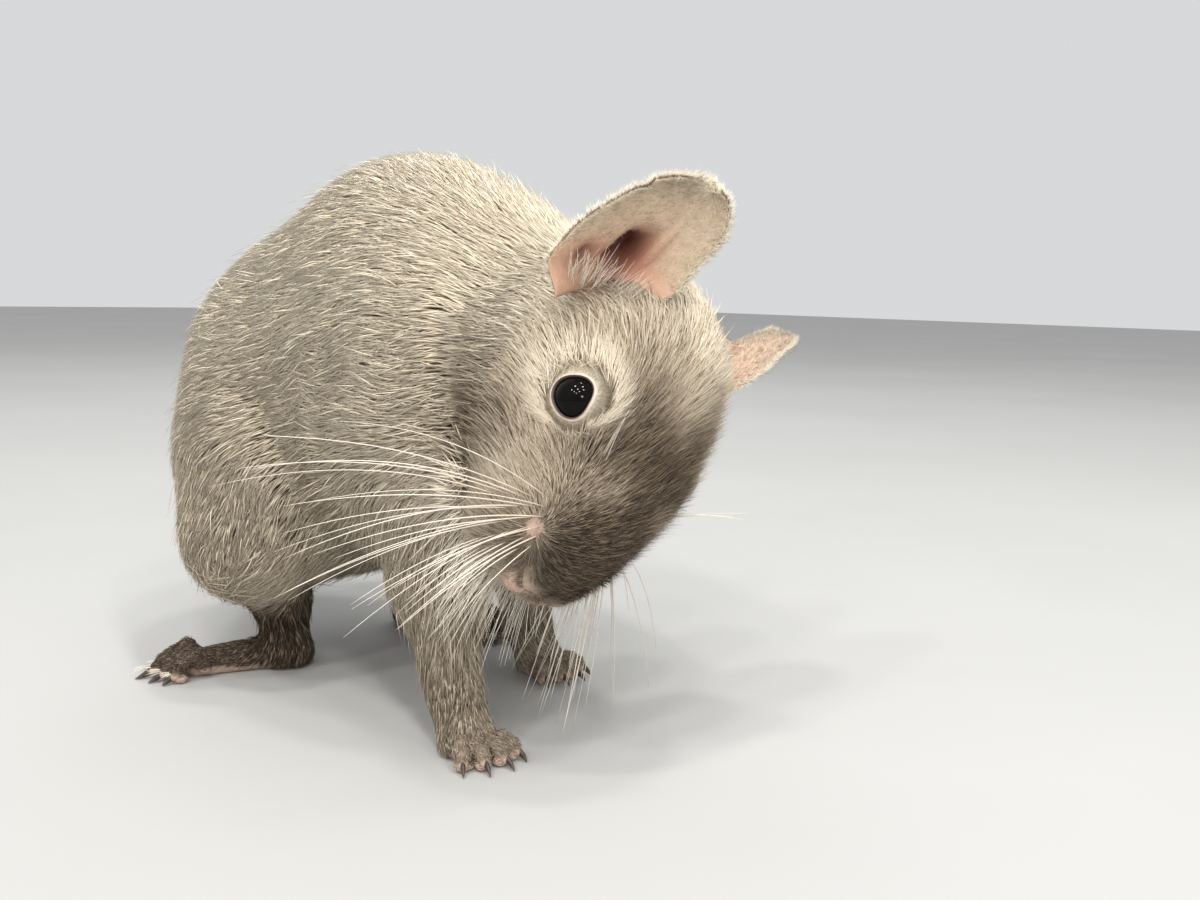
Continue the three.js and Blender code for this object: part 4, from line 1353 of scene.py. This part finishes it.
def ear_sheet(name, u, v):
    """Points of the ear's middle surface: u from rear to front margin, v from base to tip."""
    root, reach_way, face_way, across_way = ear_frame(name)
    half = EAR_WIDTH / 2 * (1 - v ** 3) ** 0.5 + 0.3
    hollow = 0.10 * bell(v - 0.74, 0.2) + 0.07 * bell(v - 0.82, 0.03)
    half = half * (1 - hollow * (u < 0))
    front_half = 0.45 + 0.29 * smooth_step(v, 0.0, 0.35) + 0.12 * smooth_step(v, 0.45, 0.75)
    rear_half = 0.64 + 0.32 * smooth_step(v, 0.0, 0.2)
    half = half * np.where(u > 0, front_half, rear_half)
    middle = -2.7 + 3.4 * v ** 1.6
    roll = np.where(u > 0, 2.0, 5.0)
    cup = (roll * (1 - v) ** 1.5 + 1.4) * np.abs(u) ** 2.2 + 1.8 * v * v
    rim = bell(1 - np.abs(u), 0.10) * smooth_step(v, 0.15, 0.4)
    cup += 0.2 * rim
    cup += 0.45 * np.sin(7 * u + 2.0) * (1 - v) * smooth_step(v, 0.1, 0.3)
    cup -= 5.5 * bell(np.abs(u + 0.04), 0.25, 3) * bell(np.abs(v - 0.34), 0.17, 3)
    for height, u0, width, v0, length in EAR_FOLDS:
        cup += height * bell(u - u0, width) * bell(v - v0, length)
    notch = 0.9 * bell(u + 0.25, 0.07) * smooth_step(v, 0.8, 0.98)
    wave = 0.25 * np.sin(13 * u + 1.3) * smooth_step(v, 0.6, 1.0)
    reach = EAR_LENGTH * v - EAR_SUNK - notch + wave
    point = root + reach[..., None] * reach_way + (middle + half * u)[..., None] * across_way
    return point + cup[..., None] * face_way


def strip(a, b):
    """Quads between two rows of numbered points."""
    return np.stack([a[:-1], b[:-1], b[1:], a[1:]], -1)


def shell_quads(rows, columns):
    """Quads of two sheets of points, back and face, and of the four edges between them."""
    back = np.arange((rows + 1) * (columns + 1)).reshape(rows + 1, columns + 1)
    face = back + back.size
    quads = []
    for row in range(rows):
        quads += [strip(back[row], back[row + 1]), strip(face[row + 1], face[row])]
    quads += [strip(back[:, 0], face[:, 0]), strip(face[:, -1], back[:, -1])]
    quads += [strip(face[0], back[0]), strip(back[-1], face[-1])]
    return np.concatenate(quads)


def make_ear(name):
    """The bare shell of an ear, with painted shade in its canal, in the hollow of its rear fold and over
    its back face, and flushed round the canal.
    """
    front = EARS[name][3]
    columns, rows = 72, 64
    u = -1 + 2 * np.arange(columns + 1) / columns
    v = EAR_TOP * np.sin(0.5 * math.pi * np.arange(rows + 1) / rows)
    uu, vv = np.meshgrid(u, v)
    e = 0.004
    middle = ear_sheet(name, uu, vv)
    du = ear_sheet(name, np.minimum(uu + e, 1), vv) - ear_sheet(name, np.maximum(uu - e, -1), vv)
    dv = ear_sheet(name, uu, np.minimum(vv + e, 0.99)) - ear_sheet(name, uu, np.maximum(vv - e, 0))
    normal = front * unit(np.cross(du, dv))
    thick = EAR_THICKNESS * (1 - 0.88 * np.maximum(np.abs(uu) ** 8, vv ** 10))
    sheets = [middle + side * thick[..., None] * normal for side in (-0.5, 0.5)]
    points = np.concatenate([s.reshape(-1, 3) for s in sheets])
    quads = shell_quads(rows, columns)
    if front < 0:
        quads = quads[:, ::-1]
    piece = make_mesh(name.replace("ear", "ear_shell"), points, quads)
    # Painted shade: the inner face darkens in the canal and in the hollow under the rear fold
    canal = 1.3 * bell(uu + 0.04, 0.27) * bell(vv - 0.34, 0.18)
    canal += 0.8 * bell(uu + 0.55, 0.14) * bell(vv - 0.22, 0.08)
    inner = np.clip(canal, 0, 1).ravel()
    flush = bell(uu - 0.05, 0.42) * bell(vv - 0.36, 0.24) + 0.6 * (1 - smooth_step(vv, 0.2, 0.5))
    flush = np.clip(flush, 0, 1).ravel()
    # Painted shade: the whole back face is darkened evenly
    behind_shade, behind_flush = np.full(inner.size, 0.26), np.full(flush.size, 0.3)
    store(piece, shade=np.concatenate([behind_shade, inner]), pink=np.concatenate([behind_flush, flush]))
    finish_piece(piece, EAR_SKIN, "bare_skin", name)
    make_ear_fuzz(name, front)


def ear_hair(name, front, u, v, inside):
    """Roots on either face of an ear, with the directions out of it and up along it."""
    e = 0.01
    du = ear_sheet(name, u + e, v) - ear_sheet(name, u, v)
    dv = ear_sheet(name, u, np.minimum(v + e, 0.999)) - ear_sheet(name, u, v - e)
    normal = front * unit(np.cross(du, dv))
    normal = np.where(inside[:, None], normal, -normal)
    return ear_sheet(name, u, v) + 0.3 * normal, normal, unit(du), unit(dv)


EAR_HAIRS = 15000
FRINGE_HAIRS = 80


def make_ear_fuzz(name, front):
    """Short hairs on both faces and over the rim, thinner round the canal."""
    count = EAR_HAIRS
    u = random.uniform(-1, 1, count)
    u = np.where(random.random(count) < 0.12, np.sign(u) * (1 - 0.03 * random.random(count)), u)
    v = random.uniform(0.02, 1, count) ** 0.8 * EAR_TOP
    inside = random.random(count) < 0.5
    canal = bell(u - 0.05, 0.42) * bell(v - 0.3, 0.24) + 0.7 * (v < 0.3)
    keep = ~(inside & (random.random(count) < canal * 1.1))
    u, v, inside = u[keep], v[keep], inside[keep]
    count = len(u)
    root, normal, side_way, up_way = ear_hair(name, front, u, v, inside)
    way = up_way + 0.4 * random.normal(size=(count, 3)) + 0.5 * u[:, None] ** 3 * side_way
    way = square_to(way, normal)
    length = random.uniform(0.9, 1.9, count) * np.where(inside, 0.9, 1.0)
    # Painted light: hairs at the rim are paled and kept from dark tones, to offset the shadow they cast on
    # one another there
    edge = smooth_step(np.maximum(np.abs(u), v / EAR_TOP), 0.88, 0.96)
    tip = root + length[:, None] * unit(way + 0.3 * normal)
    # The outer face's hairs are darker and less pale, partly their own colour and partly painted shade on
    # the ear's back
    hair = {
        "root": root,
        "normal": normal,
        "tip": tip,
        "width": random.uniform(0.09, 0.15, count),
        "tone": np.clip(0.7 - 0.25 * inside + 0.45 * random.normal(size=count), 0, 1) * (1 - 0.8 * edge),
        "dark": np.where(random.random(count) < 0.15, 0.4, 0.0) * (1 - edge),
        "pale": np.where(inside, 0.25, 0.05) + 0.35 * edge,
    }
    root_place, reach_way, face_way, _ = ear_frame(name)
    centre = root_place + 6 * reach_way + 4 * face_way
    tufts(name.replace("ear", "coat_ear"), "coat", hair, centre, reach_way)
    make_ear_fringe(name)


def make_ear_fringe(name):
    """Long pale hairs that stand in front of the canal from the coat at the ear's base."""
    made = []
    _, reach_way, face_way, across_way = ear_frame(name)
    for _ in range(FRINGE_HAIRS):
        u = random.uniform(-0.7, 0.5)
        base = ear_sheet(name, vec(u), vec(random.uniform(0.10, 0.17)))[0]
        start = base + random.uniform(0.8, 3.6) * face_way
        way = unit(reach_way + 0.3 * face_way + (0.3 * u + 0.2 * random.normal()) * across_way)
        length = random.uniform(2.4, 5.6)
        made.append(bristle(start, way, length, -0.12 * length * face_way, random.uniform(0.03, 0.055), 7))
    piece = join_tubes(name.replace("ear", "fringe"), made)
    finish_piece(piece, WHISKER, "coat")


# Whiskers: rows of long stiff hairs from each pad, swept out to the side and forward. The reach
# is the box that their tips are kept in, so that they stay near the body and off the floor.
WHISKER_REACH = ((-48, 60), (-86, 60), (0.8, 90))
WHISKER_ROWS = 5
WHISKER_COLUMNS = 6
BROW_WHISKERS = 3


def bristle(start, way, length, droop, radius, count=14):
    """A thin tapered hair that starts under the skin and sags towards its tip."""
    steps = np.linspace(0, 1, count)
    curve = start - 0.6 * way + (length + 0.6) * steps[:, None] * way
    curve = curve + (steps ** 2)[:, None] * droop
    for k, (least, most) in enumerate(WHISKER_REACH):
        curve[:, k] = np.clip(curve[:, k], least, most)
    radii = radius * (1 - steps) ** 0.75 + 0.018
    up = unit(np.cross(way, vec(0.3, 0.2, 0.9)))
    return tube(curve, radii, 4, up)


def make_whiskers(name, side):
    made = []
    places = [(r, c) for r in range(WHISKER_ROWS) for c in range(WHISKER_COLUMNS)]
    starts = [
        on_head(22 - 1.5 * c + 0.3 * r, side * 7.5, -1.6 - 2.0 * r + 0.3 * c)
        for r, c in places
    ]
    for (r, c), start in zip(places, settle(starts, level=-0.6)):
        way = turn_in_head(0.95 - 0.21 * c + 0.05 * r, side * 0.75, -0.30 - 0.13 * r)
        way = unit(unit(way) + 0.09 * random.normal(size=3))
        length = (12 + 5.4 * c - 1.2 * r) * random.uniform(0.8, 1.15)
        bend = turn_in_head(0.16, 0, -0.04) * random.uniform(0.5, 1.6) + vec(0, 0, -0.12)
        made.append(bristle(start, way, length, bend * length, random.uniform(0.065, 0.115)))
    brow = settle(on_head(9, side * 8, 6), level=-1)[0]
    for _ in range(BROW_WHISKERS):
        start = brow + 0.8 * random.normal(size=3)
        way = unit(turn_in_head(-0.3, side * 0.6, 0.75) + 0.15 * random.normal(size=3))
        made.append(bristle(start, way, random.uniform(9, 14), vec(0, 0, -1), 0.05))
    return finish_piece(join_tubes(name, made), WHISKER, "coat")


CHIN_BRISTLES = 190


def make_chin_bristles():
    """Dense pale bristles round the lips and under the chin."""
    made = []
    side = np.repeat(SIDES, CHIN_BRISTLES // 2)
    left = side * random.uniform(0.3, 7.5, CHIN_BRISTLES)
    forward = random.uniform(13, 25, CHIN_BRISTLES)
    up = random.uniform(-14.5, -10.5, CHIN_BRISTLES)
    starts = settle(HEAD_ORIGIN + np.stack([forward, left, up], -1) @ HEAD_AXES, level=-0.6)
    normals = unit(gradient(body_field, starts))
    for n, (start, normal) in enumerate(zip(starts, normals)):
        way = turn_in_head(0.85, side[n] * 0.25, -0.25) + 0.45 * normal
        way = unit(way + 0.13 * random.normal(size=3))
        length = random.uniform(4, 12) * (1.1 - 0.04 * abs(left[n]))
        bend = (turn_in_head(0.1, 0, 0) + vec(0, 0, -0.16) + 0.05 * random.normal(size=3)) * length
        made.append(bristle(start, way, length, bend, random.uniform(0.035, 0.065), 8))
    return finish_piece(join_tubes("chin_bristles", made), WHISKER, "coat")


# Tail: laid on the floor behind the rump, with a bristly brush at its end
TAIL_HAIRS = 9000


def make_tail():
    steps = np.linspace(0, 1, 90)
    curve = spline(TAIL_PATH, steps)
    radius = np.interp(steps, [0, 0.33, 0.68, 1], [3.1, 2.3, 2.1, 0.9])
    curve[:, 2] = np.maximum(curve[:, 2], radius + 0.05)
    piece = join_tubes("tail_skin", [tube(curve, radius, 20)])
    zero = np.zeros(len(piece.data.vertices))
    store(piece, dark=zero + 0.4, pale=zero, pink=zero + 0.1)
    finish_piece(piece, SKIN, "coat", "tail_base", "tail_middle", "tail_tip")
    make_brush(steps, curve, radius)


def make_brush(steps, curve, radius):
    """Short hairs along the tail, and long dark ones over its last third."""
    count = TAIL_HAIRS
    share = random.random(count) ** 0.8
    angle = random.uniform(0, 2 * math.pi, count)
    centre = np.stack([np.interp(share, steps, curve[:, k]) for k in range(3)], -1)
    tangent = unit(np.stack([np.interp(share, steps, g) for g in np.gradient(curve, axis=0).T], -1))
    across = unit(np.cross(tangent, UP))
    normal = around(angle, across, np.cross(across, tangent))
    root = centre + np.interp(share, steps, radius)[:, None] * normal
    brush = smooth_step(share, 0.66, 0.92)
    length = (3.0 + 13.0 * brush) * random.uniform(0.7, 1.1, count)
    lift = (0.12 + 0.22 * brush) * random.uniform(0.6, 1.3, count)
    way = unit(tangent + lift[:, None] * normal)
    tip = root + length[:, None] * way + brush[:, None] * vec(0, 0, -0.8)
    middle = root + 0.5 * length[:, None] * way + 0.3 * normal
    tip[:, 2] = np.maximum(tip[:, 2], 0.15 + 0.3 * random.random(count))
    middle[:, 2] = np.maximum(middle[:, 2], 0.2)
    hair = {
        "root": root,
        "normal": normal,
        "middle": middle,
        "tip": tip,
        "width": 0.3 + 0.16 * brush,
        "tone": np.clip(0.5 + 0.25 * random.normal(size=count), 0, 1),
        "dark": np.clip(0.35 + 0.65 * brush, 0, 1),
        "pale": np.zeros(count),
    }
    keep = root[:, 2] > 0.3
    hair = {k: v[keep] for k, v in hair.items()}
    tufts("coat_tail", "dark_coat", hair, vec(34, 62, 3), UP)


# Stage, lights and camera
CAMERA_PLACE = vec(-117.1, -183.9, 70)
FOCAL_PIXELS = 1210
IMAGE_WIDTH = 1200
SENSOR_WIDTH = 36
CAMERA_YAW = math.radians(42)
CAMERA_PITCH = math.atan2(160, FOCAL_PIXELS)
CAMERA_ROLL = math.radians(1.2)


def make_camera():
    level = vec(math.cos(CAMERA_YAW), -math.sin(CAMERA_YAW), 0)
    ahead = vec(math.sin(CAMERA_YAW), math.cos(CAMERA_YAW), 0)
    forward = math.cos(CAMERA_PITCH) * ahead - math.sin(CAMERA_PITCH) * UP
    up = np.cross(level, forward)
    right = math.cos(CAMERA_ROLL) * level + math.sin(CAMERA_ROLL) * up
    over = np.cross(right, forward)
    data = bpy.data.cameras.new("camera")
    data.sensor_width = SENSOR_WIDTH
    data.lens = SENSOR_WIDTH * FOCAL_PIXELS / IMAGE_WIDTH
    data.clip_start = 0.01
    camera = bpy.data.objects.new("camera", data)
    place = to_frame(CAMERA_PLACE)
    rows = np.eye(4)
    rows[:3, 0], rows[:3, 1], rows[:3, 2], rows[:3, 3] = right, over, -forward, place
    camera.matrix_world = Matrix(rows.tolist())
    bpy.context.scene.collection.objects.link(camera)
    bpy.context.scene.camera = camera


def area_light(name, place, target, size, power, colour):
    data = bpy.data.lights.new(name, "AREA")
    data.size = size
    data.energy = power
    data.color = colour
    light = bpy.data.objects.new(name, data)
    light.location = place
    light.rotation_euler = (Vector(target) - Vector(place)).to_track_quat("-Z", "Y").to_euler()
    bpy.context.scene.collection.objects.link(light)


FLOOR_REACH = 3.0
FLOOR_TONES = ((0.3, (0.44, 0.44, 0.43)), (0.7, (0.47, 0.47, 0.46)))


def make_floor():
    mesh = bpy.data.meshes.new("floor")
    corners = [(x * FLOOR_REACH, y * FLOOR_REACH, 0) for x, y in ((-1, -1), (1, -1), (1, 1), (-1, 1))]
    mesh.from_pydata(corners, [], [(0, 1, 2, 3)])
    floor = bpy.data.objects.new("floor", mesh)
    bpy.context.scene.collection.objects.link(floor)
    made, tree = material("floor_paint")
    shade(tree, ramp(tree, noise(tree, 6.0), *FLOOR_TONES), {"Roughness": 0.8})
    mesh.materials.append(made)


# Rows of small ceiling lamps over the animal's right front, and softer fill lights
LAMP_ROWS = 3
LAMPS_IN_ROW = 3
LAMP_POWER = 1.45


def make_lights():
    for row in range(LAMP_ROWS):
        for n in range(LAMPS_IN_ROW):
            place = (-0.80 + 0.34 * row + 0.08 * n, -0.75 + 0.30 * n, 0.75 + 0.05 * row)
            area_light(f"lamp_{row}_{n}", place, (0, -0.02, 0.05), 0.07, LAMP_POWER, (1.0, 0.98, 0.95))
    area_light("back", (0.35, 0.5, 0.7), (0, 0, 0.05), 0.6, 1.5, (0.96, 0.98, 1.0))
    area_light("front", (-0.35, -0.85, 0.35), (0, 0, 0.04), 0.12, 1.6, (1.0, 0.99, 0.97))
    world = bpy.data.worlds.new("studio")
    world.use_nodes = True
    sky = world.node_tree.nodes["Background"]
    set_sockets(sky, {"Color": (0.95, 0.96, 0.97, 1), "Strength": 0.72})
    bpy.context.scene.world = world
    bpy.context.scene.view_settings.view_transform = "Standard"


make_camera()
make_floor()
make_lights()
skin_piece = make_skin()
make_coat(skin_piece)
for eye in EYES:
    make_eye(eye)
    make_lids(eye)
for ear in EARS:
    make_ear(ear)
make_claws()
make_whiskers("whiskers_right", -1)
make_whiskers("whiskers_left", 1)
make_chin_bristles()
make_toe_bristles()
make_tail()
